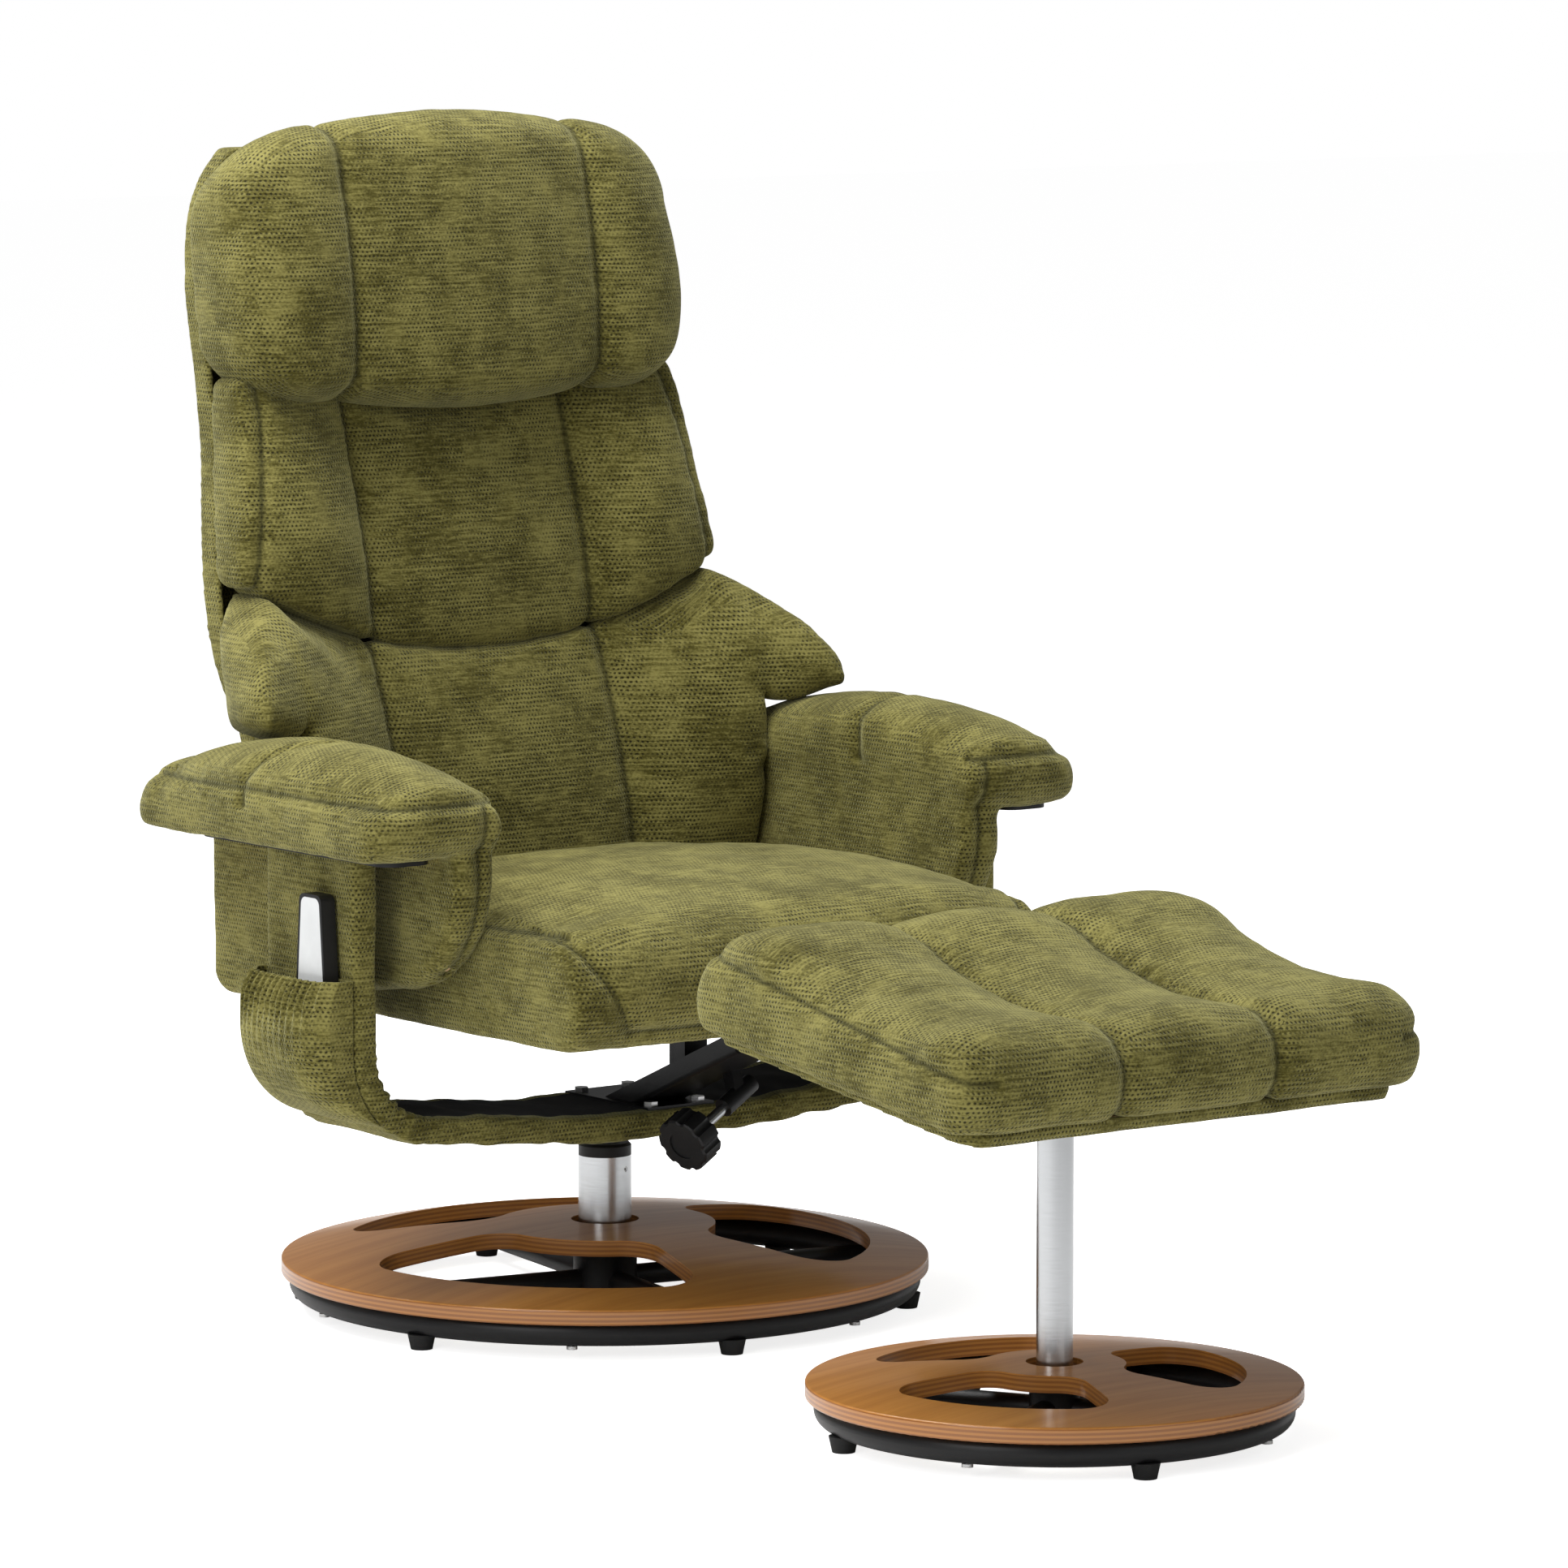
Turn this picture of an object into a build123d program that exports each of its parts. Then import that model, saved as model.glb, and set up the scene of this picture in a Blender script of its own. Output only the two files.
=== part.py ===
"""Swivel recliner with its footstool, in millimetres.

The origin is on the floor under the chair's swivel post.  +Z is up, the chair faces -Y, and the
sitter's right hand is on the -X side, where the handset pocket is.
"""
import os
from math import asin, atan, cos, pi, radians, sin, sqrt, tan

from build123d import *

os.makedirs("parts", exist_ok=True)

# Clearances
soft_gap = 0.3
running_gap = 0.05
slide_gap = 0.3

# Pedestals: the chair's first, the footstool's second
plywood = 15
plywood_edge_round = 2.5
foot_height = 12
foot_radius = 13
foot_taper = 3
foot_saddle = 2
ring_tube_radius = 12.5
ring_tube_wall = 2
spoke_radius = 10
spoke_wall = 2
spoke_count = 4
hub_floor = 6
hub_clear_of_disc = 1.5
disc_curvature = 1426
disc_screw_radius = 2.5
disc_screw_bite = 9
disc_screw_head_radius = 5
disc_screw_head = 3
cutout_count = 3

chair_disc_radius = 305
chair_ring_inset = 20
chair_disc_hole = 32
chair_cutout_inner = 104
chair_cutout_outer = 250
chair_cutout_half_angle = 43
chair_cutout_corner = 38
chair_cutout_turn = 213
chair_foot_count = 6
chair_foot_turn = 18
chair_spoke_turn = 80
chair_hub_radius = 30

stool_disc_radius = 216
stool_ring_inset = 20
stool_disc_hole = 25
stool_cutout_inner = 62
stool_cutout_outer = 166
stool_cutout_half_angle = 40
stool_cutout_corner = 28
stool_cutout_turn = 210
stool_foot_count = 4
stool_foot_turn = 164
stool_spoke_turn = 29
stool_hub_radius = 22

# Chair column
column_radius = 25
column_wall = 3.5
column_top = 142
column_plug_height = 20
column_bolt_radius = 6
column_bolt_head_radius = 10
column_bolt_head = 7
column_washer_radius = 16
column_washer = 2
thrust_pad = 5
thrust_pad_radius = 18
bush_height = 20
bush_above_pad = 12
collar_height = 12
collar_spigot = 24
post_radius = 14
post_wall = 4
set_screw_radius = 2.5
set_screw_drop = 12
set_screw_turn = 285

# Swivel yoke under the seat
yoke_tube_width = 30
yoke_tube_depth = 15
yoke_tube_wall = 2
yoke_tube_spacing = 110
yoke_centre_y = -55
yoke_half_width = 354
yoke_run_height = 192
yoke_flat_half = 95
yoke_rise = 24
yoke_bend = 75
yoke_flat_bend = 150
yoke_plate = 5
yoke_plate_half = 75
sleeve_wall = 2.5
sleeve_corner = 6

# Arms
arm_plate = 6
arm_plate_top = 468
arm_plate_width = 54
arm_plate_front = -196
arm_plate_rear = 112
arm_inner = 270
arm_outer = 404
arm_panel_thickness = 40
arm_rear = 198
arm_front = -222
arm_crown = 556
arm_board = 15
arm_side_board = 14
arm_side_board_low = 345
arm_bolt_radius = 4
arm_bolt_head_radius = 7
arm_bolt_head = 4
arm_bolt_inset = 42

# Back
pivot_y = 176
pivot_height = 430
pivot_pin_radius = 6
back_foot_y = 180
back_lean = 16
neck_height = 850
nod = 0.00086
back_half_width = 262
back_tube_radius = 10
back_tube_wall = 1.5
back_tube_half = 228
back_tube_top_half = 205
back_frame_low = 396
back_frame_kink = 600
back_frame_over_neck = 35
back_frame_bend = 55
ear_thickness = 6
ear_width = 22
ear_height = 56
ear_shift = -1
back_pad_gap = 13
back_bar_radius = 8
back_bar_heights = (480, 720)
back_strap_heights = (450, 530, 610, 690, 770)
back_webbing = 2
webbing_width = 50
back_shell_low = 384
back_shell_high = 1082
shell_wall = 6
shell_depth = 16
shell_belly = 14
headrest_half_width = 252
wing_reach = 335
wing_height = 562

# Seat
seat_half_width = 268
seat_low = 300
seat_crown = 424
seat_front = -338
seat_rear = 114
seat_frame_bar = 22
seat_frame_half = 235
seat_frame_front = -286
seat_frame_rear = 70
seat_webbing = 2
seat_strap_count = 5
dust_cover = 2.2

# Glide rail and clamp
rail_pitch = 23
rail_width = 58
rail_height = 20
rail_wall = 4
rail_length = 166
rail_start_y = -92
rail_lip = 9
rail_foot = 5
rail_foot_half = 38
rail_foot_length = 132
rail_bolt_radius = 4
rail_bolt_head_radius = 7
rail_bolt_head = 4
shoe_length = 50
shoe_start = 48
shoe_post_width = 26
shoe_post_depth = 24
clamp_rod_radius = 5
clamp_barrel_radius = 9
clamp_barrel_length = 44
clamp_rod_out = 42
clamp_x = 20
clamp_y = -181
knob_radius = 27
knob_thickness = 24
knob_lobes = 9
knob_lobe_depth = 2.5
knob_edge = 3

# Pocket and handset
pocket_front = -126
pocket_rear = 14
pocket_mouth = 352
pocket_low = 216
pocket_bulge = 46
pocket_mouth_depth = 29
pocket_wall = 3
pocket_belly_share = 1.2
pocket_lip_share = 1.9
handset_thickness = 15
handset_length = 134
handset_width = 54
handset_top_width = 34
handset_centre_y = -84
handset_face = 1.2
handset_rim = 3
handset_corner = 7
handset_stands_out = 76

# Footstool top
stool_x = -66
stool_y = -753
stool_tilt = 8
stool_height = 320
stool_post_radius = 16
stool_post_wall = 2.5
socket_radius = 21
socket_cup = 38
socket_cap = 6
tilt_plate = 5
tilt_plate_side = 150
stool_board = 12
stool_board_half_x = 232
stool_board_half_y = 176
skirt_wall = 4
skirt_floor = 2
skirt_corner = 24
stool_half_x = 255
stool_half_y = 198
stool_seam = 84
stool_screw_radius = 3
stool_screw_head_radius = 6
stool_screw_head = 3
stool_screw_inset = 22


def save(piece, name):
    """Label a finished piece and write its STEP file."""
    piece.label = name
    export_step(piece, f"parts/{name}.step")


def outline(plane, corners):
    """Closed face through (point, via) corners; a side is an arc through its via, or straight."""
    following = corners[1:] + corners[:1]
    with BuildSketch(plane) as face:
        with BuildLine():
            for (start, via), (end, _) in zip(corners, following):
                if via is None:
                    Line(start, end)
                else:
                    ThreePointArc(start, via, end)
        make_face()
    return face.sketch.face()


def side_view(x, corners):
    """Closed face of (y, z) corners in the upright plane at x."""
    return outline(Plane.YZ.offset(x), corners)


def both_sides(stations, draw):
    """Faces at -x and +x for each station, from the outermost left to the outermost right."""
    left = [draw(-x, *sizes) for x, *sizes in reversed(stations)]
    right = [draw(x, *sizes) for x, *sizes in stations]
    return left, right


# Pedestals

def dome_top(radius, disc_radius):
    """Height of a domed disc's upper face above its rim."""
    return sqrt(disc_curvature**2 - radius**2) - sqrt(disc_curvature**2 - disc_radius**2)


def ring_centre_height():
    return foot_height + ring_tube_radius


def disc_rim_height(disc_radius, ring_inset):
    """Height of the rim's lower edge: the underside rests on the ring tube, in its arc."""
    inner = disc_curvature - ring_tube_radius
    dome_centre = ring_centre_height() - sqrt(inner**2 - (disc_radius - ring_inset)**2)
    return dome_centre + sqrt(disc_curvature**2 - disc_radius**2)


def make_disc(centre, radius, inset, hole, cutout, screw_turn, screw_count):
    inner, outer, half_angle, corner, turn = cutout
    rim_low = disc_rim_height(radius, inset)
    rim_high = rim_low + plywood
    half = (hole + radius) / 2
    floor = Plane(origin=(*centre, 0))
    upright = Plane(origin=(*centre, 0), x_dir=(1, 0, 0), z_dir=(0, -1, 0))
    with BuildPart() as disc:
        with BuildSketch(upright):
            with BuildLine():
                upper = ThreePointArc(
                    (hole, rim_high + dome_top(hole, radius)),
                    (half, rim_high + dome_top(half, radius)),
                    (radius, rim_high))
                lower = ThreePointArc(
                    (hole, rim_low + dome_top(hole, radius)),
                    (half, rim_low + dome_top(half, radius)),
                    (radius, rim_low))
                Line(upper @ 0, lower @ 0)
                Line(upper @ 1, lower @ 1)
            make_face()
            fillet(vertices().group_by(Axis.X)[-1], min(plywood_edge_round, plywood / 3))
        revolve(axis=Axis((*centre, 0), (0, 0, 1)))
        with BuildSketch(floor):
            for step in range(cutout_count):
                first = turn - half_angle + step * 360 / cutout_count
                with BuildLine():
                    inner_arc = CenterArc((0, 0), inner, first, 2 * half_angle)
                    outer_arc = CenterArc((0, 0), outer, first, 2 * half_angle)
                    Line(inner_arc @ 0, outer_arc @ 0)
                    Line(inner_arc @ 1, outer_arc @ 1)
                make_face()
            fillet(vertices(), corner)
        extrude(amount=2 * rim_high + dome_top(0, radius), mode=Mode.SUBTRACT)
        with BuildSketch(floor):
            with PolarLocations(radius - inset, screw_count, screw_turn):
                Circle(disc_screw_radius)
        extrude(amount=screw_tip_height(radius, inset), mode=Mode.SUBTRACT)
    return disc.part


def screw_tip_height(radius, inset):
    contact = disc_rim_height(radius, inset) + dome_top(radius - inset, radius)
    return contact + disc_screw_bite


def screw_turn_of(foot_turn, foot_count):
    """The disc's screws stand midway between the feet."""
    return foot_turn + 180 / foot_count


def make_pedestal(name, centre, radius, inset, hole, cutout, feet, spoke_turn, hub_radius, hub_bore):
    """Domed plywood disc on a steel ring with spokes, hub, feet and screws."""
    foot_count, foot_turn = feet
    screw_turn = screw_turn_of(foot_turn, foot_count)
    ring_radius = radius - inset
    height = ring_centre_height()
    floor = Plane(origin=(*centre, 0))
    axis = Plane(origin=(*centre, height))
    hub_top = hub_top_height(radius, inset)
    save(make_disc(centre, radius, inset, hole, cutout, screw_turn, foot_count), f"{name}_ply_disc")

    with BuildPart() as ring_solid:
        with Locations(axis):
            Torus(ring_radius, ring_tube_radius)
    with BuildPart() as ring:
        with Locations(axis):
            Torus(ring_radius, ring_tube_radius)
            Torus(ring_radius, ring_tube_radius - ring_tube_wall, mode=Mode.SUBTRACT)
        with BuildSketch(floor):
            with PolarLocations(ring_radius, foot_count, screw_turn):
                Circle(disc_screw_radius)
        extrude(amount=2 * height, mode=Mode.SUBTRACT)
    save(ring.part, f"{name}_ring_tube")

    with BuildPart() as hub_solid:
        with BuildSketch(floor.offset(foot_height)):
            Circle(hub_radius)
        extrude(amount=hub_top - foot_height)
    with BuildPart() as hub:
        add(hub_solid.part)
        with BuildSketch(floor.offset(foot_height + hub_floor)):
            Circle(hub_bore)
        extrude(amount=hub_top, mode=Mode.SUBTRACT)
        with BuildSketch(floor):
            Circle(column_bolt_radius)
        extrude(amount=hub_top, mode=Mode.SUBTRACT)
    save(hub.part, f"{name}_hub")

    with BuildPart() as spokes:
        for step in range(spoke_count):
            turn = radians(spoke_turn + step * 360 / spoke_count)
            out = (cos(turn), sin(turn), 0)
            with BuildSketch(Plane(origin=(*centre, height), z_dir=out)):
                Circle(spoke_radius)
                Circle(spoke_radius - spoke_wall, mode=Mode.SUBTRACT)
            extrude(amount=ring_radius)
        add(hub_solid.part, mode=Mode.SUBTRACT)
        add(ring_solid.part, mode=Mode.SUBTRACT)
    save(spokes.part, f"{name}_spokes")

    with BuildPart() as pads:
        with Locations(floor):
            with PolarLocations(ring_radius, foot_count, foot_turn):
                Cone(foot_radius - foot_taper, foot_radius, foot_height + foot_saddle,
                     align=(Align.CENTER, Align.CENTER, Align.MIN))
        add(ring_solid.part, mode=Mode.SUBTRACT)
    save(pads.part, f"{name}_feet")

    with BuildPart() as screws:
        tip = screw_tip_height(radius, inset)
        head_low = foot_height - disc_screw_head
        with BuildSketch(floor.offset(head_low)):
            with PolarLocations(ring_radius, foot_count, screw_turn):
                Circle(disc_screw_head_radius)
        extrude(amount=disc_screw_head)
        with BuildSketch(floor.offset(foot_height)):
            with PolarLocations(ring_radius, foot_count, screw_turn):
                Circle(disc_screw_radius)
        extrude(amount=tip - foot_height)
    save(screws.part, f"{name}_disc_screws")


def hub_top_height(radius, inset):
    """The hub stops short of the disc's underside at the middle."""
    return disc_rim_height(radius, inset) + dome_top(0, radius) - hub_clear_of_disc


chair_centre = (0, 0)
stool_centre = (stool_x, stool_y)
column_bore = column_radius - column_wall

make_pedestal(
    "base", chair_centre, chair_disc_radius, chair_ring_inset, chair_disc_hole,
    (chair_cutout_inner, chair_cutout_outer, chair_cutout_half_angle, chair_cutout_corner,
     chair_cutout_turn),
    (chair_foot_count, chair_foot_turn), chair_spoke_turn, chair_hub_radius, column_radius)

make_pedestal(
    "stool", stool_centre, stool_disc_radius, stool_ring_inset, stool_disc_hole,
    (stool_cutout_inner, stool_cutout_outer, stool_cutout_half_angle, stool_cutout_corner,
     stool_cutout_turn),
    (stool_foot_count, stool_foot_turn), stool_spoke_turn, stool_hub_radius, stool_post_radius)

# Chair column: fixed tube, bushes and thrust pad, with the turning post inside

hub_seat = foot_height + hub_floor
plug_top = hub_seat + column_plug_height
pad_top = plug_top + thrust_pad
sleeve_low = yoke_run_height - yoke_tube_depth / 2 - yoke_plate - soft_gap - sleeve_wall
plate_low = sleeve_low + sleeve_wall + soft_gap
set_screw_height = column_top - set_screw_drop
set_screw_out = (cos(radians(set_screw_turn)), sin(radians(set_screw_turn)), 0)
set_screw_plane = Plane(origin=(0, 0, set_screw_height), z_dir=set_screw_out)

with BuildPart() as column_tube:
    with BuildSketch(Plane.XY.offset(hub_seat)):
        Circle(column_radius)
        Circle(column_bore, mode=Mode.SUBTRACT)
    extrude(amount=column_top - hub_seat)
    with BuildSketch(set_screw_plane):
        Circle(set_screw_radius)
    extrude(amount=2 * column_radius, mode=Mode.SUBTRACT)
save(column_tube.part, "column_tube")

with BuildPart() as column_plug:
    with BuildSketch(Plane.XY.offset(hub_seat)):
        Circle(column_bore)
        Circle(column_bolt_radius, mode=Mode.SUBTRACT)
    extrude(amount=column_plug_height)
save(column_plug.part, "column_plug")

with BuildPart() as column_bolt:
    with BuildSketch(Plane.XY.offset(foot_height - column_washer - column_bolt_head)):
        RegularPolygon(column_bolt_head_radius, 6)
    extrude(amount=column_bolt_head)
    with BuildSketch(Plane.XY.offset(foot_height - column_washer)):
        Circle(column_bolt_radius)
    extrude(amount=column_washer + hub_floor + column_plug_height)
save(column_bolt.part, "column_bolt")

with BuildPart() as washer:
    with BuildSketch(Plane.XY.offset(foot_height - column_washer)):
        Circle(column_washer_radius)
        Circle(column_bolt_radius, mode=Mode.SUBTRACT)
    extrude(amount=column_washer)
save(washer.part, "column_washer")

with BuildPart() as pad:
    with BuildSketch(Plane.XY.offset(plug_top)):
        Circle(thrust_pad_radius)
    extrude(amount=thrust_pad)
save(pad.part, "column_thrust_pad")

with BuildPart() as lower_bush:
    with BuildSketch(Plane.XY.offset(pad_top + bush_above_pad)):
        Circle(column_bore)
        Circle(post_radius + running_gap, mode=Mode.SUBTRACT)
    extrude(amount=bush_height)
save(lower_bush.part, "column_lower_bush")

with BuildPart() as collar:
    with BuildSketch(Plane.XY.offset(column_top - collar_spigot)):
        Circle(column_bore)
    extrude(amount=collar_spigot)
    with BuildSketch(Plane.XY.offset(column_top)):
        Circle(column_radius)
    extrude(amount=collar_height)
    top_edge = collar.edges().filter_by(GeomType.CIRCLE).sort_by(Axis.Z)[-1]
    chamfer(top_edge, collar_height / 5)
    with BuildSketch(Plane.XY.offset(column_top - collar_spigot)):
        Circle(post_radius + running_gap)
    extrude(amount=collar_spigot + collar_height, mode=Mode.SUBTRACT)
save(collar.part, "column_collar")

with BuildPart() as set_screw:
    with BuildSketch(set_screw_plane):
        Circle(set_screw_radius)
    extrude(amount=column_radius - set_screw_radius / 5)
    with BuildSketch(set_screw_plane.offset(column_radius)):
        RegularPolygon(set_screw_radius / 2, 6)
    extrude(amount=-column_wall / 2, mode=Mode.SUBTRACT)
    with BuildSketch(Plane.XY):
        Circle(column_bore)
    extrude(amount=column_top, mode=Mode.SUBTRACT)
save(set_screw.part, "column_set_screw")

with BuildPart() as post:
    with BuildSketch(Plane.XY.offset(pad_top)):
        Circle(post_radius)
        Circle(post_radius - post_wall, mode=Mode.SUBTRACT)
    extrude(amount=plate_low - pad_top)
save(post.part, "swivel_post")

# Swivel yoke: two bent tubes on a plate, in a fabric sleeve

yoke_top = arm_plate_top - arm_plate
tube_top = yoke_run_height + yoke_tube_depth / 2
tube_low = yoke_run_height - yoke_tube_depth / 2
sleeve_shift = yoke_plate / 2
sleeve_cavity_depth = yoke_tube_depth + yoke_plate + 2 * soft_gap
sleeve_cavity_width = yoke_tube_spacing + yoke_tube_width + 2 * soft_gap
sleeve_face = yoke_half_width + sleeve_shift + sleeve_cavity_depth / 2 + sleeve_wall
rail_foot_top = tube_top + rail_foot
rail_bolt_x = rail_foot_half - rail_bolt_head_radius - rail_wall
rail_bolt_spots = [
    (side * rail_bolt_x, yoke_centre_y + end * yoke_tube_spacing / 2)
    for side in (-1, 1) for end in (-1, 1)]


def yoke_line(y, out):
    """Corners of the yoke's bend line, moved outwards from the tubes by out."""
    half = yoke_half_width + out
    run = yoke_run_height - out
    left = [(-half, y, yoke_top), (-half, y, run + yoke_rise), (-yoke_flat_half, y, run)]
    right = [(-x, y, z) for x, y, z in reversed(left)]
    return left + right


def yoke_radii(out):
    return [yoke_bend + out, yoke_flat_bend + out, yoke_flat_bend + out, yoke_bend + out]


with BuildPart() as yoke_tubes:
    for end in (-1, 1):
        tube_y = yoke_centre_y + end * yoke_tube_spacing / 2
        with BuildLine() as bend:
            FilletPolyline(*yoke_line(tube_y, 0), radius=yoke_radii(0))
        with BuildSketch(Plane(origin=bend.line @ 0, x_dir=(0, 1, 0), z_dir=bend.line % 0)):
            Rectangle(yoke_tube_width, yoke_tube_depth)
            Rectangle(yoke_tube_width - 2 * yoke_tube_wall, yoke_tube_depth - 2 * yoke_tube_wall,
                      mode=Mode.SUBTRACT)
        sweep()
    with BuildSketch(Plane.XY.offset(tube_low)):
        with Locations(*rail_bolt_spots):
            Circle(rail_bolt_radius)
    extrude(amount=yoke_tube_depth, mode=Mode.SUBTRACT)
save(yoke_tubes.part, "yoke_tubes")

with BuildPart() as yoke_base:
    with BuildSketch(Plane.XY.offset(plate_low)):
        with Locations((0, yoke_centre_y)):
            Rectangle(2 * yoke_plate_half, yoke_tube_spacing + yoke_tube_width)
        with Locations(*rail_bolt_spots):
            Circle(rail_bolt_radius, mode=Mode.SUBTRACT)
    extrude(amount=yoke_plate)
save(yoke_base.part, "yoke_base_plate")

with BuildPart() as sleeve:
    with BuildLine() as sleeve_bend:
        FilletPolyline(*yoke_line(yoke_centre_y, sleeve_shift), radius=yoke_radii(sleeve_shift))
    with BuildSketch(Plane(origin=sleeve_bend.line @ 0, x_dir=(0, 1, 0), z_dir=sleeve_bend.line % 0)):
        RectangleRounded(sleeve_cavity_width + 2 * sleeve_wall, sleeve_cavity_depth + 2 * sleeve_wall,
                         sleeve_corner)
        Rectangle(sleeve_cavity_width, sleeve_cavity_depth, mode=Mode.SUBTRACT)
    sweep()
    with BuildSketch(Plane.XY.offset(sleeve_low - sleeve_wall)):
        Circle(post_radius + sleeve_wall)
    extrude(amount=3 * sleeve_wall, mode=Mode.SUBTRACT)
    with BuildSketch(Plane.XY.offset(yoke_run_height)):
        with Locations((0, yoke_centre_y)):
            Rectangle(2 * rail_foot_half + sleeve_wall, rail_foot_length + sleeve_wall)
    extrude(amount=yoke_tube_depth + yoke_plate, mode=Mode.SUBTRACT)
save(sleeve.part, "yoke_sleeve")

# Glide rail on the yoke, with the clamp that holds the recline

glide = (0, -cos(radians(rail_pitch)), sin(radians(rail_pitch)))
rail_up = (0, sin(radians(rail_pitch)), cos(radians(rail_pitch)))
rail_plane = Plane(origin=(0, rail_start_y, rail_foot_top), x_dir=(1, 0, 0), z_dir=glide)
rail_behind = rail_height / tan(radians(rail_pitch))
rail_bore_width = rail_width - 2 * rail_wall
rail_bore_height = rail_height - 2 * rail_wall
rail_slot = rail_bore_width - 2 * rail_lip

with BuildPart() as foot_plate:
    with BuildSketch(Plane.XY.offset(tube_top)):
        with Locations((0, yoke_centre_y)):
            Rectangle(2 * rail_foot_half, rail_foot_length)
        with Locations(*rail_bolt_spots):
            Circle(rail_bolt_radius, mode=Mode.SUBTRACT)
    extrude(amount=rail_foot)
save(foot_plate.part, "rail_foot_plate")

with BuildPart() as rail:
    with BuildSketch(rail_plane.offset(-rail_behind)):
        with Locations((0, rail_height / 2)):
            Rectangle(rail_width, rail_height)
        fillet(vertices().group_by(Axis.Y)[0], rail_wall)
        with Locations((0, rail_height / 2)):
            Rectangle(rail_bore_width, rail_bore_height, mode=Mode.SUBTRACT)
        with Locations((0, rail_height)):
            Rectangle(rail_slot, 2 * rail_wall, mode=Mode.SUBTRACT)
    extrude(amount=rail_behind + rail_length)
    split(bisect_by=Plane.XY.offset(rail_foot_top), keep=Keep.TOP)
save(rail.part, "glide_rail")

clamp_out = Vector(-0.88, -0.21, -0.43).normalized()
clamp_drop = clamp_barrel_radius + rail_wall
rail_under_clamp = rail_foot_top + (rail_start_y - clamp_y) * tan(radians(rail_pitch))
clamp_height = rail_under_clamp - (clamp_barrel_radius + clamp_drop) / cos(radians(rail_pitch))
clamp_centre = Vector(clamp_x, clamp_y, clamp_height)
clamp_plane = Plane(origin=clamp_centre, z_dir=clamp_out)
tab_plane = Plane(origin=clamp_centre, x_dir=(1, 0, 0), z_dir=rail_up)
knob_plane = clamp_plane.offset(clamp_barrel_length / 2 + clamp_rod_out)
rod_in_knob = knob_thickness / 2

with BuildPart() as barrel:
    with BuildSketch(tab_plane):
        Rectangle(1.2 * clamp_barrel_radius, 1.6 * clamp_barrel_radius)
    extrude(amount=clamp_barrel_radius + clamp_drop)
    with BuildSketch(clamp_plane.offset(-clamp_barrel_length / 2)):
        Circle(clamp_barrel_radius)
    extrude(amount=clamp_barrel_length)
    with BuildSketch(clamp_plane.offset(-clamp_barrel_length / 2 + clamp_barrel_radius / 2)):
        Circle(clamp_rod_radius + running_gap)
    extrude(amount=clamp_barrel_length, mode=Mode.SUBTRACT)
save(barrel.part, "clamp_barrel")

with BuildPart() as rod:
    with BuildSketch(clamp_plane.offset(-clamp_barrel_length / 2 + clamp_barrel_radius / 2)):
        Circle(clamp_rod_radius)
    extrude(amount=clamp_barrel_length + clamp_rod_out + rod_in_knob - clamp_barrel_radius / 2)
save(rod.part, "clamp_rod")

with BuildPart() as knob:
    with BuildSketch(knob_plane):
        Circle(knob_radius)
        with PolarLocations(knob_radius + knob_lobe_depth, knob_lobes):
            Circle(2 * knob_lobe_depth, mode=Mode.SUBTRACT)
    extrude(amount=knob_thickness)
    chamfer(knob.edges().filter_by(lambda edge: edge.length < knob_radius and abs(
        (edge @ 0.5 - knob_plane.origin).dot(knob_plane.z_dir) - knob_thickness) < 0.01), knob_edge / 2)
    with BuildSketch(knob_plane):
        Circle(clamp_rod_radius)
    extrude(amount=rod_in_knob, mode=Mode.SUBTRACT)
    with BuildSketch(knob_plane.offset(knob_thickness)):
        Circle(knob_radius / 2)
    extrude(amount=-knob_edge / 2, mode=Mode.SUBTRACT)
save(knob.part, "clamp_knob")

# Arms: plywood boards on steel plates, inside upholstered pads and side panels

panel_outer = arm_inner + arm_panel_thickness
side_board_inner = arm_inner + (arm_panel_thickness - arm_side_board) / 2
side_board_outer = side_board_inner + arm_side_board
arm_board_inner = side_board_inner + 2
arm_board_outer = arm_outer - 20
arm_board_front = arm_front + 37
arm_board_rear = arm_rear - 43
arm_board_x = (arm_board_inner + arm_board_outer) / 2
arm_board_y = (arm_board_front + arm_board_rear) / 2
arm_board_width = arm_board_outer - arm_board_inner
arm_board_length = arm_board_rear - arm_board_front
arm_plate_y = (arm_plate_front + arm_plate_rear) / 2
side_board_rear = arm_rear - 11
side_board_y = (arm_board_front + side_board_rear) / 2
side_board_length = side_board_rear - arm_board_front
side_board_corner = (arm_plate_top - arm_side_board_low) * 0.6
arm_bolt_spots = [
    (side * yoke_half_width, y)
    for side in (-1, 1) for y in (arm_plate_front + arm_bolt_inset, arm_plate_rear - arm_bolt_inset)]
pad_height = arm_crown - arm_plate_top
pad_front_drop = 0.24
pad_rear_drop = 0.33
pad_low_rear = arm_rear - 28
pad_low_front = arm_front + 22


def arm_pad_section(x, shrink, fullness):
    """Side view of an arm pad: flat below, with a crowned top and round ends."""
    top = arm_plate_top + fullness * pad_height
    high_front = (arm_front + 32 + shrink, top - pad_front_drop * pad_height)
    high_rear = (arm_rear - 30 - shrink, top - pad_rear_drop * pad_height)
    front_tip = (arm_front + shrink, (arm_plate_top + high_front[1]) / 2)
    rear_tip = (arm_rear - shrink, (arm_plate_top + high_rear[1]) / 2)
    return side_view(x, [
        ((pad_low_rear - shrink, arm_plate_top), None),
        ((pad_low_front + shrink, arm_plate_top), front_tip),
        (high_front, ((arm_front + arm_rear) / 2, top)),
        (high_rear, rear_tip),
    ])


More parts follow.
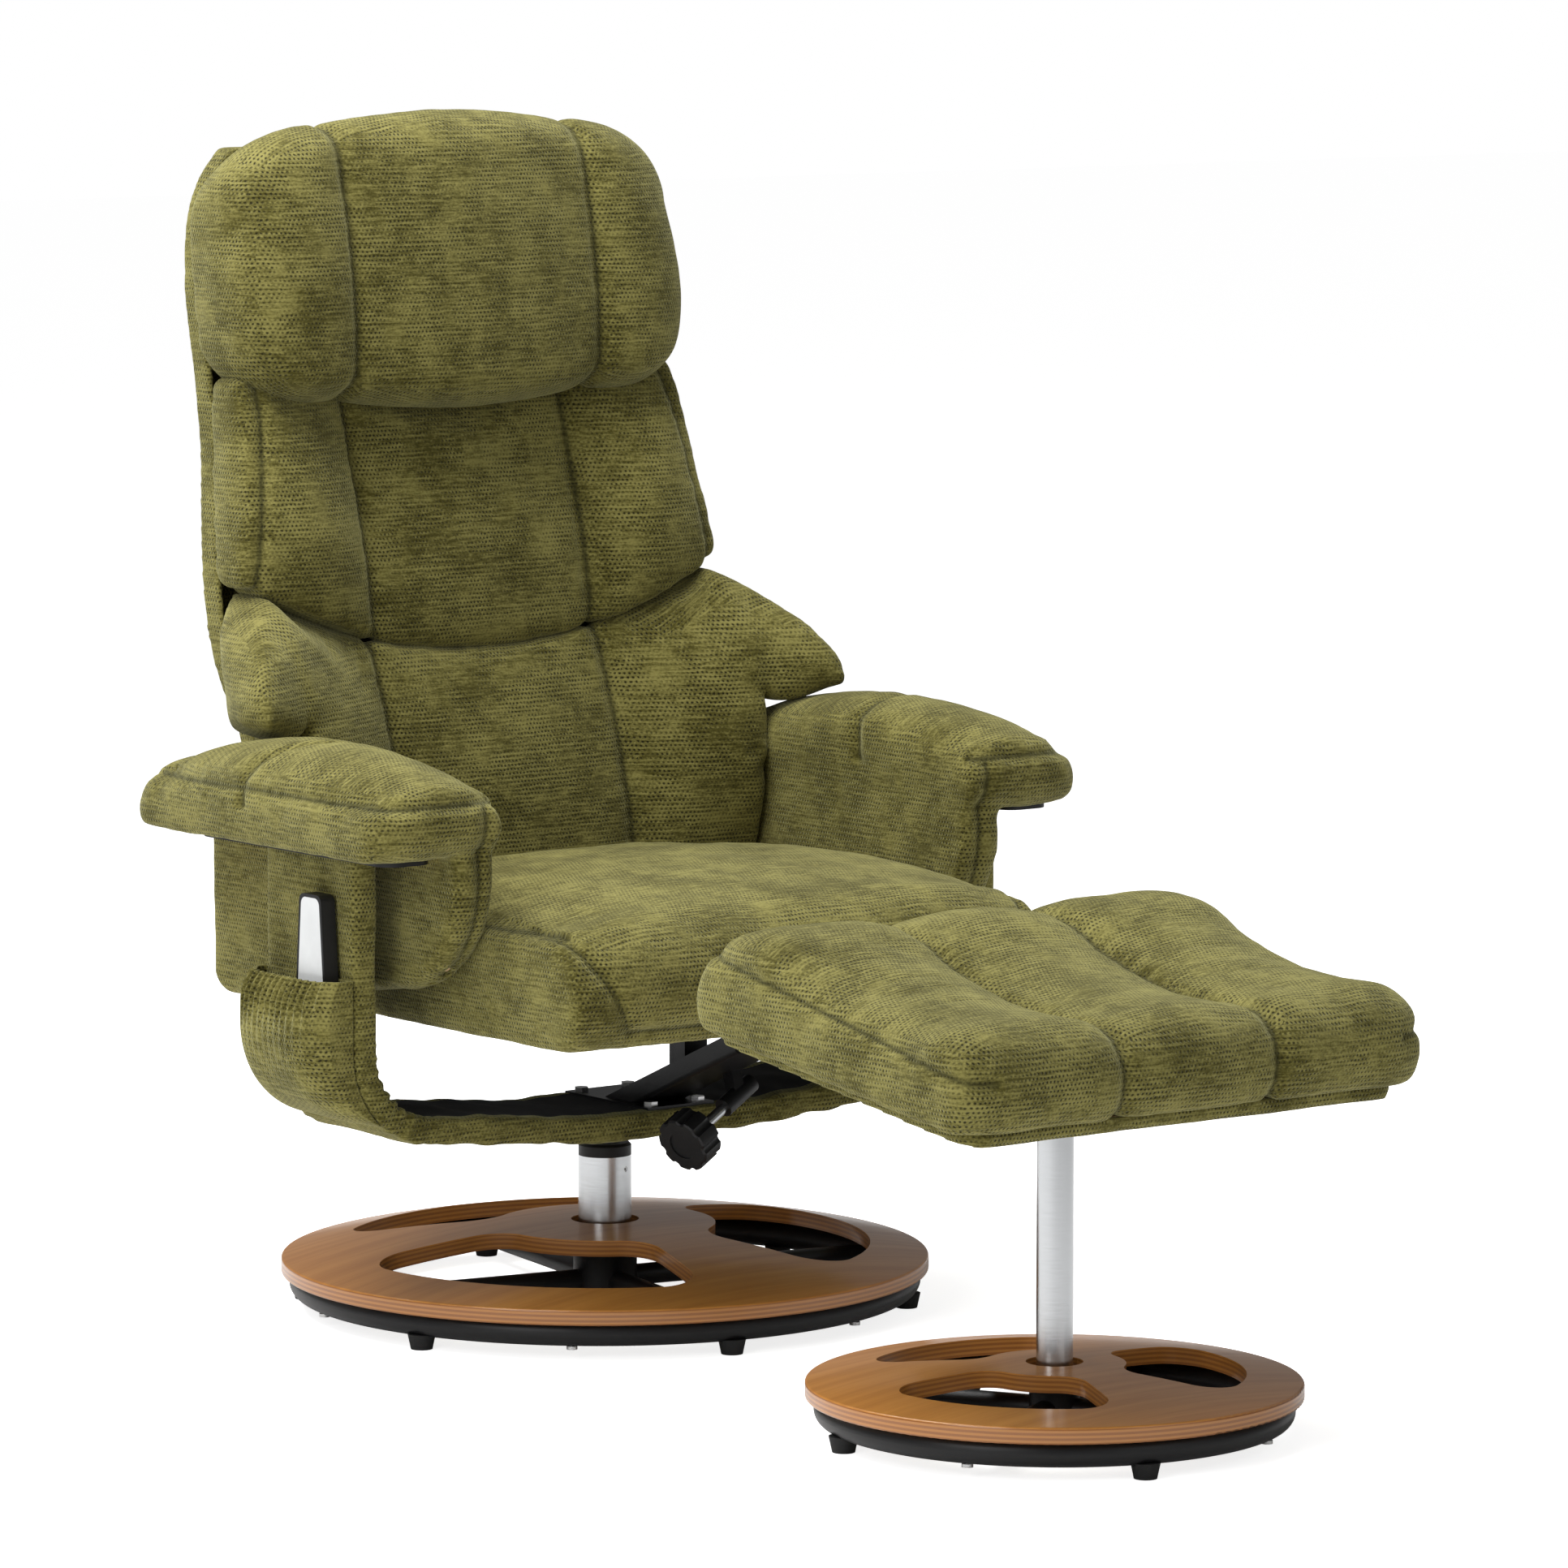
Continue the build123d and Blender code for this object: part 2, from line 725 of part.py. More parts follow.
def arm_panel_section(x, inset):
    """Side view of an arm's side panel, with its round lower front corner."""
    return side_view(x, [
        ((arm_rear - inset, arm_plate_top), None),
        ((arm_rear - 2 - inset, 324), (arm_rear - 8 - inset, 308 + inset)),
        ((arm_rear - 26, 302 + inset), None),
        ((-95, 338 + inset), (-176 + inset, 372 + inset)),
        ((arm_front + 14 + inset, 448), None),
        ((arm_front + 16 + inset, arm_plate_top), None),
    ])


pad_stations = [
    (arm_inner, 6, 0.795),
    (arm_inner + 30, 2, 0.965),
    (arm_inner + 65, 0, 1),
    (arm_outer - 24, 6, 0.865),
    (arm_outer, 26, 0.57),
]
panel_stations = [(arm_inner, 5), (arm_inner + arm_panel_thickness / 2, 0), (panel_outer, 4)]
right_pad_faces, left_pad_faces = both_sides(pad_stations, arm_pad_section)
right_panel_faces, left_panel_faces = both_sides(panel_stations, arm_panel_section)

with BuildPart() as arm_boards:
    with BuildSketch(Plane.XY.offset(arm_plate_top)):
        with Locations(*[(side * arm_board_x, arm_board_y) for side in (-1, 1)]):
            Rectangle(arm_board_width, arm_board_length)
        with Locations(*arm_bolt_spots):
            Circle(arm_bolt_radius, mode=Mode.SUBTRACT)
    extrude(amount=arm_board)
save(arm_boards.part, "arm_boards")


def side_board_face(x):
    """Side view of the board inside a side panel, with its lower front corner cut round."""
    with BuildSketch(Plane.YZ.offset(x)) as face:
        with Locations((side_board_y, (arm_side_board_low + arm_plate_top) / 2)):
            Rectangle(side_board_length, arm_plate_top - arm_side_board_low)
        fillet(vertices().group_by(Axis.Y)[0].sort_by(Axis.X)[0], side_board_corner)
    return face.sketch.face()


with BuildPart() as side_boards:
    for side in (-1, 1):
        extrude(side_board_face(side * side_board_inner), amount=side * arm_side_board)
        with BuildSketch(Plane.YZ.offset(side * side_board_inner)):
            with Locations((pivot_y, pivot_height)):
                Circle(pivot_pin_radius)
        extrude(amount=side * arm_side_board, mode=Mode.SUBTRACT)
save(side_boards.part, "arm_side_boards")

for hand, side, pad_faces, panel_faces in (
        ("right", -1, right_pad_faces, right_panel_faces),
        ("left", 1, left_pad_faces, left_panel_faces)):
    with BuildPart() as arm_pad:
        loft(pad_faces)
        with BuildSketch(Plane.XY.offset(yoke_top)):
            with Locations((side * arm_board_x, arm_board_y)):
                Rectangle(2 * arm_outer - 2 * arm_inner, 2 * arm_rear - 2 * arm_front)
        extrude(amount=arm_plate, mode=Mode.SUBTRACT)
        with BuildSketch(Plane.XY.offset(arm_plate_top)):
            with Locations((side * arm_board_x, arm_board_y)):
                Rectangle(arm_board_width, arm_board_length)
        extrude(amount=arm_board, mode=Mode.SUBTRACT)
    save(arm_pad.part, f"arm_pad_{hand}")

    with BuildPart() as side_panel:
        loft(panel_faces)
        extrude(side_board_face(side * side_board_inner), amount=side * arm_side_board,
                mode=Mode.SUBTRACT)
        with BuildSketch(Plane.YZ):
            with Locations((pivot_y, pivot_height)):
                Circle(pivot_pin_radius + soft_gap)
        extrude(amount=side * side_board_outer, mode=Mode.SUBTRACT)
    save(side_panel.part, f"arm_panel_{hand}")

with BuildPart() as arm_plates:
    with BuildSketch(Plane.XY.offset(yoke_top)):
        with Locations(*[(side * yoke_half_width, arm_plate_y) for side in (-1, 1)]):
            RectangleRounded(arm_plate_width, arm_plate_rear - arm_plate_front, arm_plate_width / 3)
        with Locations(*arm_bolt_spots):
            Circle(arm_bolt_radius, mode=Mode.SUBTRACT)
    extrude(amount=arm_plate)
save(arm_plates.part, "arm_plates")

pin_inner = back_tube_half + back_tube_radius + soft_gap
with BuildPart() as pins:
    for side in (-1, 1):
        with BuildSketch(Plane.YZ.offset(side * pin_inner)):
            with Locations((pivot_y, pivot_height)):
                Circle(pivot_pin_radius)
        extrude(amount=side * (side_board_outer - pin_inner))
save(pins.part, "pivot_pins")

with BuildPart() as yoke_bolts:
    with BuildSketch(Plane.XY.offset(rail_foot_top)):
        with Locations(*rail_bolt_spots):
            RegularPolygon(rail_bolt_head_radius, 6)
    extrude(amount=rail_bolt_head)
    with BuildSketch(Plane.XY.offset(plate_low)):
        with Locations(*rail_bolt_spots):
            Circle(rail_bolt_radius)
    extrude(amount=rail_foot_top - plate_low)
    with BuildSketch(Plane.XY.offset(yoke_top - arm_bolt_head)):
        with Locations(*arm_bolt_spots):
            RegularPolygon(arm_bolt_head_radius, 6)
    extrude(amount=arm_bolt_head)
    with BuildSketch(Plane.XY.offset(yoke_top)):
        with Locations(*arm_bolt_spots):
            Circle(arm_bolt_radius)
    extrude(amount=arm_plate + arm_board)
save(yoke_bolts.part, "yoke_bolts")

# Back: a leaning tube frame with webbing, a rear shell, two cushions and a headrest

lean = radians(back_lean)
lean_plane = Plane(origin=(0, back_foot_y, pivot_height), x_dir=(1, 0, 0),
                   z_dir=(0, -cos(lean), sin(lean)))


def spine(height):
    """The back's rear line: straight along the frame, then nodding forwards at the neck."""
    over = max(0, height - neck_height)
    return back_foot_y + (height - pivot_height) * tan(lean) - nod * over**2


def along_back(height):
    """Distance from the pivot's height up the leaning frame."""
    return (height - pivot_height) / cos(lean)


back_frame_high = neck_height + back_frame_over_neck


def frame_half(height):
    """Half-width of the frame, which narrows above its kink."""
    share = max(0, (height - back_frame_kink) / (back_frame_high - back_frame_kink))
    return back_tube_half + share * (back_tube_top_half - back_tube_half)


with BuildPart() as back_frame:
    with BuildLine(lean_plane) as frame_line:
        FilletPolyline(
            (-back_tube_half, along_back(back_frame_low)),
            (-back_tube_half, along_back(back_frame_kink)),
            (-back_tube_top_half, along_back(back_frame_high)),
            (back_tube_top_half, along_back(back_frame_high)),
            (back_tube_half, along_back(back_frame_kink)),
            (back_tube_half, along_back(back_frame_low)),
            radius=[2 * back_frame_bend, back_frame_bend, back_frame_bend, 2 * back_frame_bend])
    with BuildSketch(Plane(origin=frame_line.line @ 0, z_dir=frame_line.line % 0)):
        Circle(back_tube_radius)
        Circle(back_tube_radius - back_tube_wall, mode=Mode.SUBTRACT)
    sweep()
    for height in back_bar_heights:
        reach = frame_half(height) - back_tube_radius + back_tube_wall / 2
        with BuildSketch(Plane.YZ.offset(-reach)):
            with Locations((spine(height), height)):
                Circle(back_bar_radius)
        extrude(amount=2 * reach)
save(back_frame.part, "back_frame")

with BuildPart() as ears:
    for side in (-1, 1):
        ear_inner = side * (back_tube_half + back_tube_radius)
        with BuildSketch(Plane(origin=(ear_inner, back_foot_y, pivot_height), x_dir=(0, 1, 0),
                               z_dir=(1, 0, 0))):
            with Locations(Location((ear_shift, 0), -back_lean)):
                RectangleRounded(ear_width, ear_height, ear_width / 3)
            with Locations((pivot_y - back_foot_y, 0)):
                Circle(pivot_pin_radius + running_gap, mode=Mode.SUBTRACT)
        extrude(amount=side * ear_thickness)
save(ears.part, "back_hinge_ears")

with BuildPart() as straps:
    for height in back_strap_heights:
        with BuildSketch(lean_plane.offset(back_tube_radius)):
            with Locations((0, along_back(height))):
                Rectangle(2 * frame_half(height), webbing_width)
        extrude(amount=back_webbing)
save(straps.part, "back_webbing")


def shell_face(height, half, front, side_rear, middle_rear):
    """Level cut through the rear shell, bowed out behind."""
    y = spine(height)
    return outline(Plane.XY.offset(height), [
        ((-half, y + front), None),
        ((half, y + front), None),
        ((half, y + side_rear), (0, y + middle_rear)),
        ((-half, y + side_rear), None),
    ])


shell_front = -back_pad_gap + soft_gap
shell_low_stations = [(back_shell_low, back_half_width - 8), (556, back_half_width)]
shell_high_stations = [
    (556, back_half_width), (640, back_half_width + 14), (740, back_half_width),
    (846, back_half_width - 15), (960, back_half_width - 17), (1040, back_half_width - 30),
    (back_shell_high, back_half_width - 57),
]


def shell_outer(stations):
    return [shell_face(height, half, shell_front, shell_depth, shell_depth + shell_belly)
            for height, half in stations]


def shell_inner(stations):
    """The hollow of the shell, open in front and closed at the foot and the head."""
    faces = []
    for height, half in stations:
        level = min(max(height, back_shell_low + shell_wall), back_shell_high - shell_wall)
        faces.append(shell_face(level, half - shell_wall, shell_front - back_pad_gap,
                                shell_depth - shell_wall, shell_depth + shell_belly - shell_wall))
    return faces


with BuildPart() as shell:
    loft(shell_outer(shell_low_stations))
    loft(shell_outer(shell_high_stations))
    loft(shell_inner(shell_low_stations), mode=Mode.SUBTRACT)
    loft(shell_inner(shell_high_stations), mode=Mode.SUBTRACT)
    with BuildSketch(Plane.YZ):
        with Locations((pivot_y, pivot_height)):
            Circle(pivot_pin_radius + 2)
    extrude(amount=back_half_width, both=True, mode=Mode.SUBTRACT)
save(shell.part, "back_rear_shell")


def back_pad_section(x, low, high, front_low, belly, front_high):
    """Side view of a back cushion: straight behind, bellied in front."""
    middle = (low + high) / 2
    return side_view(x, [
        ((spine(high) - back_pad_gap, high), None),
        ((spine(low) - back_pad_gap, low), None),
        ((spine(low) - front_low, low), (spine(middle) - belly, middle)),
        ((spine(high) - front_high, high), None),
    ])


def wing_root(x):
    """Side view where a wing grows out of the bolster."""
    low, high = wing_height, wing_height + 102
    middle = (low + high) / 2
    return side_view(x, [
        ((spine(low) - back_pad_gap, low), None),
        ((spine(low) - 116, low), (spine(middle) - 103, middle)),
        ((spine(high) - 75, high), None),
        ((spine(high) - back_pad_gap, high), None),
    ])


def wing_middle(x):
    low = wing_height
    return side_view(x, [
        ((170, low), None), ((82, low), (100, low + 48)), ((132, low + 74), None),
        ((190, low + 68), None)])


def wing_tip(x):
    low = wing_height + 1
    return side_view(x, [
        ((100, low), None), ((62, low), (66, low + 12)), ((80, low + 21), None),
        ((100, low + 17), None)])


lower_middle = (375, 603, 38, 55, 38)
lower_seam = (380, 617, 36, 46, 36)
lower_bolster = (376, 640, 50, 80, 50)
lower_edge = (382, 668, 40, 118, 74)
lower_seam_x = 130
lower_right, lower_left = both_sides(
    [(lower_seam_x, *lower_seam), (195, *lower_bolster), (back_half_width, *lower_edge)],
    back_pad_section)

with BuildPart() as lower_cushion:
    loft([back_pad_section(-lower_seam_x, *lower_seam), back_pad_section(0, *lower_middle),
          back_pad_section(lower_seam_x, *lower_seam)])
    loft(lower_right)
    loft(lower_left)
    loft([wing_tip(-wing_reach), wing_middle(-wing_reach + 35), wing_root(-back_half_width)])
    loft([wing_root(back_half_width), wing_middle(wing_reach - 35), wing_tip(wing_reach)])
save(lower_cushion.part, "back_lower_cushion")

upper_high = 834
upper_middle = (609, upper_high, 38, 56, 38)
upper_seam = (622, upper_high, 40, 46, 40)
upper_bolster = (645, upper_high, 62, 86, 62)
upper_seam_x = 125
upper_edge_low = 680
upper_edge_x = 274
upper_edge_slant = 9.2


def upper_edge(side):
    """The upper cushion's slanting outer end."""
    slant = radians(upper_edge_slant)
    plane = Plane(origin=(side * upper_edge_x, 0, upper_edge_low), x_dir=(0, 1, 0),
                  z_dir=(cos(slant), 0, side * sin(slant)))
    middle = (upper_edge_low + upper_high) / 2
    top = (upper_high - 8 - upper_edge_low) / cos(slant)
    return outline(plane, [
        ((spine(upper_high - 8) - back_pad_gap, top), None),
        ((spine(upper_edge_low) - back_pad_gap, 0), None),
        ((spine(upper_edge_low) - 58, 0), (spine(middle) - 68, top / 2)),
        ((spine(upper_high - 8) - 52, top), None),
    ])


with BuildPart() as upper_cushion:
    loft([back_pad_section(-upper_seam_x, *upper_seam), back_pad_section(0, *upper_middle),
          back_pad_section(upper_seam_x, *upper_seam)])
    loft([upper_edge(-1), back_pad_section(-190, *upper_bolster),
          back_pad_section(-upper_seam_x, *upper_seam)])
    loft([back_pad_section(upper_seam_x, *upper_seam), back_pad_section(190, *upper_bolster),
          upper_edge(1)])
save(upper_cushion.part, "back_upper_cushion")


head_gap = back_pad_gap + 3


def headrest_section(x, low, high, front):
    """Side view of the headrest: a deep roll with a round top and bottom."""
    middle = (low + high) / 2
    rear_low, rear_high = low + 14, high - 26
    rear_middle = (rear_low + rear_high) / 2
    return side_view(x, [
        ((spine(rear_high) - head_gap, rear_high),
         (spine(rear_middle) - head_gap, rear_middle)),
        ((spine(rear_low) - head_gap, rear_low), (spine(low) - 0.45 * front, low)),
        ((spine(low) - 0.86 * front, low + 22), (spine(middle) - front, middle)),
        ((spine(high) - 0.8 * front, high - 38), (spine(high) - 0.42 * front, high)),
    ])


head_middle = (838, 1111, 132)
head_seam = (850, 1098, 114)
head_seam_x = 140
head_right, head_left = both_sides(
    [(head_seam_x, *head_seam), (192, 849, 1091, 125), (232, 862, 1068, 112),
     (headrest_half_width, 888, 1036, 88)], headrest_section)

with BuildPart() as headrest:
    loft([headrest_section(-head_seam_x, *head_seam), headrest_section(0, *head_middle),
          headrest_section(head_seam_x, *head_seam)])
    loft(head_right)
    loft(head_left)
save(headrest.part, "back_headrest")

# Seat: a cushion on a wooden frame with webbing, carried by a shoe in the rail


def seat_section(x, rear_low, rear_high, rear_height, crown, front_high, front_height, nose, front_low):
    """Side view of the seat cushion: crowned on top, with a round front edge."""
    return side_view(x, [
        ((front_low, seat_low), None),
        ((rear_low, seat_low), None),
        ((rear_high, rear_height), (-80, crown)),
        ((front_high, front_height), (nose, (seat_low + front_height) / 2 + 8)),
    ])


seat_middle = (
    seat_rear - 24, seat_rear, seat_crown - 19, seat_crown,
    seat_front + 74, seat_crown - 14, seat_front, seat_front + 20)
seat_flank = (
    seat_rear - 32, seat_rear - 10, seat_crown - 22, seat_crown - 3,
    seat_front + 76, seat_crown - 17, seat_front + 2, seat_front + 22)
seat_edge = (
    seat_rear - 42, seat_rear - 30, seat_crown - 36, seat_crown - 20,
    seat_front + 82, seat_crown - 32, seat_front + 12, seat_front + 30)
seat_flank_x = seat_half_width - 62
seat_frame_y = (seat_frame_front + seat_frame_rear) / 2
seat_frame_length = seat_frame_rear - seat_frame_front
seat_frame_low = seat_low + 2
seat_frame_top = seat_frame_low + seat_frame_bar
shoe_plane = rail_plane.offset(shoe_start)
shoe_y = rail_start_y + glide[1] * shoe_start + rail_up[1] * rail_height / 2
shoe_height = rail_foot_top + glide[2] * shoe_start + rail_up[2] * rail_height / 2

with BuildPart() as seat_cushion:
    loft([seat_section(-seat_half_width, *seat_edge), seat_section(-seat_flank_x, *seat_flank),
          seat_section(0, *seat_middle), seat_section(seat_flank_x, *seat_flank),
          seat_section(seat_half_width, *seat_edge)])
    with BuildSketch(Plane.XY.offset(seat_low)):
        with Locations((0, seat_frame_y)):
            Rectangle(2 * seat_frame_half + 2 * soft_gap, seat_frame_length + 2 * soft_gap)
    extrude(amount=seat_frame_top + seat_webbing + soft_gap - seat_low, mode=Mode.SUBTRACT)
save(seat_cushion.part, "seat_cushion")

with BuildPart() as seat_frame:
    with BuildSketch(Plane.XY.offset(seat_frame_low)):
        with Locations((0, seat_frame_y)):
            Rectangle(2 * seat_frame_half, seat_frame_length)
            Rectangle(2 * seat_frame_half - 2 * seat_frame_bar, seat_frame_length - 2 * seat_frame_bar,
                      mode=Mode.SUBTRACT)
        with Locations((0, shoe_y)):
            Rectangle(2 * seat_frame_half - seat_frame_bar, shoe_post_depth + seat_frame_bar / 2)
    extrude(amount=seat_frame_bar)
save(seat_frame.part, "seat_frame")

with BuildPart() as seat_straps:
    gap = (seat_frame_length - seat_frame_bar) / seat_strap_count
    with BuildSketch(Plane.XY.offset(seat_frame_top)):
        with Locations((0, seat_frame_y)):
            with GridLocations(0, gap, 1, seat_strap_count):
                Rectangle(2 * seat_frame_half - seat_frame_bar, webbing_width)
    extrude(amount=seat_webbing)
save(seat_straps.part, "seat_webbing")

with BuildPart() as cover:
    with BuildSketch(Plane.XY.offset(seat_low - dust_cover)):
        with Locations((0, seat_frame_y)):
            RectangleRounded(2 * seat_frame_half + 14, seat_frame_length + 14, 12)
        with Locations((0, shoe_y)):
            Rectangle(shoe_post_width + 4, shoe_post_depth + 4, mode=Mode.SUBTRACT)
    extrude(amount=dust_cover)
save(cover.part, "seat_dust_cover")

with BuildPart() as shoe:
    with BuildSketch(shoe_plane.offset(-shoe_length / 2)):
        with Locations((0, rail_height / 2)):
            Rectangle(rail_bore_width - 2 * slide_gap, rail_bore_height - 2 * slide_gap)
    extrude(amount=shoe_length)
    with BuildSketch(Plane.XY.offset(shoe_height)):
        with Locations((0, shoe_y)):
            Rectangle(shoe_post_width, shoe_post_depth)
    extrude(amount=seat_frame_low - shoe_height)
save(shoe.part, "seat_glide_shoe")

# Pocket on the right-hand upright, and the handset in it

sleeve_radius = yoke_bend + sleeve_shift
sleeve_corner_turn = pi / 2 - atan(yoke_rise / (yoke_half_width + sleeve_shift - yoke_flat_half))
bend_height = yoke_run_height - sleeve_shift + yoke_rise + sleeve_radius * tan(sleeve_corner_turn / 2)
bend_x = yoke_half_width + sleeve_shift - sleeve_radius
pocket_back = sleeve_face + soft_gap
pocket_radius = pocket_back - bend_x


def pocket_section(y, fullness, wall):
    """Cut across the pocket at y: close to the sleeve inside, bellied outside."""
    low = pocket_low + 6 * wall
    radius = pocket_radius + wall
    turn = asin((bend_height - low) / radius)
    back = pocket_back + wall
    belly = pocket_back + pocket_bulge * fullness - pocket_belly_share * wall
    lip = pocket_back + pocket_mouth_depth * fullness - pocket_lip_share * wall
    return outline(Plane(origin=(0, y, 0), x_dir=(-1, 0, 0), z_dir=(0, 1, 0)), [
        ((back, pocket_mouth + wall), None),
        ((back, bend_height), (bend_x + radius * cos(turn / 2), bend_height - radius * sin(turn / 2))),
        ((bend_x + radius * cos(turn), low), (belly, bend_height + 4)),
        ((lip, pocket_mouth + wall), None),
    ])


pocket_stations = [
    (pocket_rear, 0.5), (pocket_rear - 24, 0.92), (yoke_centre_y, 1), (pocket_front + 26, 1),
    (pocket_front, 0.55)]
pocket_walls = [pocket_section(y, fullness, 0) for y, fullness in pocket_stations]
pocket_ends = (pocket_front + pocket_wall, pocket_rear - pocket_wall)
pocket_hollow = [
    pocket_section(min(max(y, pocket_ends[0]), pocket_ends[1]), fullness, pocket_wall)
    for y, fullness in pocket_stations]

with BuildPart() as pocket:
    loft(pocket_walls)
    loft(pocket_hollow, mode=Mode.SUBTRACT)
save(pocket.part, "handset_pocket")

handset_inner = -(pocket_back + pocket_wall + soft_gap)
handset_low = pocket_mouth + handset_stands_out - handset_length


def handset_outline(x, inset):
    """Tapered side view of the handset, wide below and narrow above."""
    low, high = handset_low + inset, handset_low + handset_length - inset
    wide, narrow = handset_width / 2 - inset, handset_top_width / 2 - inset
    with BuildSketch(Plane.YZ.offset(x)) as face:
        with BuildLine():
            Polyline(
                (handset_centre_y - wide, low), (handset_centre_y + wide, low),
                (handset_centre_y + narrow, high), (handset_centre_y - narrow, high), close=True)
        make_face()
        fillet(vertices(), handset_corner)
    return face.sketch.face()


with BuildPart() as handset_body:
    extrude(handset_outline(handset_inner, 0), amount=-handset_thickness)
    extrude(handset_outline(handset_inner - handset_thickness, handset_rim), amount=handset_face,
            mode=Mode.SUBTRACT)
save(handset_body.part, "handset_body")

with BuildPart() as handset_front:
    extrude(handset_outline(handset_inner - handset_thickness, handset_rim), amount=handset_face)
save(handset_front.part, "handset_face")

# Footstool top, tilted on its swivelling socket

tilt = radians(stool_tilt)
stool_plane = Plane(origin=(stool_x, stool_y, stool_height), x_dir=(1, 0, 0),
                    z_dir=(0, -sin(tilt), cos(tilt)))
stool_floor = Plane(origin=(stool_x, stool_y, 0))
cup_top = stool_height - tilt_plate - socket_cap
cup_low = cup_top - socket_cup
skirt_top = skirt_floor + stool_board
screw_side = tilt_plate_side - 2 * stool_screw_inset

with BuildPart() as stool_post:
    with BuildSketch(stool_floor.offset(hub_seat)):
        Circle(stool_post_radius)
        Circle(stool_post_radius - stool_post_wall, mode=Mode.SUBTRACT)
    extrude(amount=cup_top - hub_seat)
save(stool_post.part, "stool_post")

with BuildPart() as socket:
    with BuildSketch(stool_floor.offset(cup_low)):
        Circle(socket_radius)
    extrude(amount=stool_height - cup_low)
    split(bisect_by=stool_plane.offset(-tilt_plate), keep=Keep.BOTTOM)
    with BuildSketch(stool_floor.offset(cup_low)):
        Circle(stool_post_radius + running_gap)
    extrude(amount=socket_cup, mode=Mode.SUBTRACT)
save(socket.part, "stool_socket")

with BuildPart() as stool_plate:
    with BuildSketch(stool_plane.offset(-tilt_plate)):
        RectangleRounded(tilt_plate_side, tilt_plate_side, stool_screw_inset / 2)
        with GridLocations(screw_side, screw_side, 2, 2):
            Circle(stool_screw_radius, mode=Mode.SUBTRACT)
    extrude(amount=tilt_plate)
save(stool_plate.part, "stool_tilt_plate")

with BuildPart() as skirt:
    with BuildSketch(stool_plane):
        RectangleRounded(2 * (stool_board_half_x + skirt_wall), 2 * (stool_board_half_y + skirt_wall),
                         skirt_corner)
    extrude(amount=skirt_top)
    with BuildSketch(stool_plane.offset(skirt_floor)):
        RectangleRounded(2 * stool_board_half_x, 2 * stool_board_half_y, skirt_corner - skirt_wall)
    extrude(amount=stool_board, mode=Mode.SUBTRACT)
    with BuildSketch(stool_plane):
        with GridLocations(screw_side, screw_side, 2, 2):
            Circle(stool_screw_radius)
    extrude(amount=skirt_floor, mode=Mode.SUBTRACT)
save(skirt.part, "stool_skirt")

with BuildPart() as board:
    with BuildSketch(stool_plane.offset(skirt_floor)):
        RectangleRounded(2 * stool_board_half_x, 2 * stool_board_half_y, skirt_corner - skirt_wall)
        with GridLocations(screw_side, screw_side, 2, 2):
            Circle(stool_screw_radius, mode=Mode.SUBTRACT)
    extrude(amount=stool_board)
save(board.part, "stool_board")

with BuildPart() as stool_screws:
    with BuildSketch(stool_plane.offset(-tilt_plate - stool_screw_head)):
        with GridLocations(screw_side, screw_side, 2, 2):
            Circle(stool_screw_head_radius)
    extrude(amount=stool_screw_head)
    with BuildSketch(stool_plane.offset(-tilt_plate)):
        with GridLocations(screw_side, screw_side, 2, 2):
            Circle(stool_screw_radius)
    extrude(amount=tilt_plate + skirt_top)
save(stool_screws.part, "stool_screws")


def stool_section(x, drop, drawn):
    """Side view of the stool cushion: a hump towards the chair, then a dip."""
    near, far = stool_half_y - drawn, -stool_half_y + drawn
    plane = Plane(origin=stool_plane.from_local_coords(Vector(x, 0, 0)), x_dir=(0, cos(tilt), sin(tilt)),
                  z_dir=(1, 0, 0))
    return outline(plane, [
        ((far + 12, skirt_top), None),
        ((near - 12, skirt_top), (near, skirt_top + 42 - drop / 2)),
        ((near - 34, 98 - drop), (near - 78, 110 - drop)),
        ((near - 136, 98 - drop), (near - 233, 86 - drop)),
        ((far + 66, 93 - drop), (far + 4, skirt_top + 48 - drop / 2)),
    ])


stool_seam_face = (stool_seam, 13, 5)
stool_right, stool_left = both_sides(
    [stool_seam_face, (stool_seam + 46, 1, 0), (stool_half_x - 52, 0, 0), (stool_half_x - 15, 7, 6),
     (stool_half_x, 26, 18)], stool_section)

with BuildPart() as stool_cushion:
    loft([stool_section(-stool_seam, 13, 5), stool_section(0, 0, 0), stool_section(stool_seam, 13, 5)])
    loft(stool_right)
    loft(stool_left)
save(stool_cushion.part, "stool_cushion")
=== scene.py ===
"""Upholstery, finishes and studio for the swivel recliner and its footstool."""
import math

import bpy
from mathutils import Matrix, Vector, noise


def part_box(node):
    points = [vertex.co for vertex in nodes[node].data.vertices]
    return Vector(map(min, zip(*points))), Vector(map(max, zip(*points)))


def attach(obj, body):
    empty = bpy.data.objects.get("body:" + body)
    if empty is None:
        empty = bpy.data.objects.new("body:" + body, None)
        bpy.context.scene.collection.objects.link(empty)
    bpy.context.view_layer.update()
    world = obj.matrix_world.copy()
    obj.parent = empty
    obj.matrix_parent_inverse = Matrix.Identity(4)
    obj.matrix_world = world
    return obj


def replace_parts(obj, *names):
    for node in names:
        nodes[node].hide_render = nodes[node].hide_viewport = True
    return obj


bl_info = {
    "name": "Swivel recliner dressing",
    "version": (1, 0, 0),
    "blender": (4, 5, 0),
    "location": "View3D > Sidebar > Recliner",
    "description": "Pads, covers and finishes a swivel recliner with its footstool",
    "category": "Object",
}

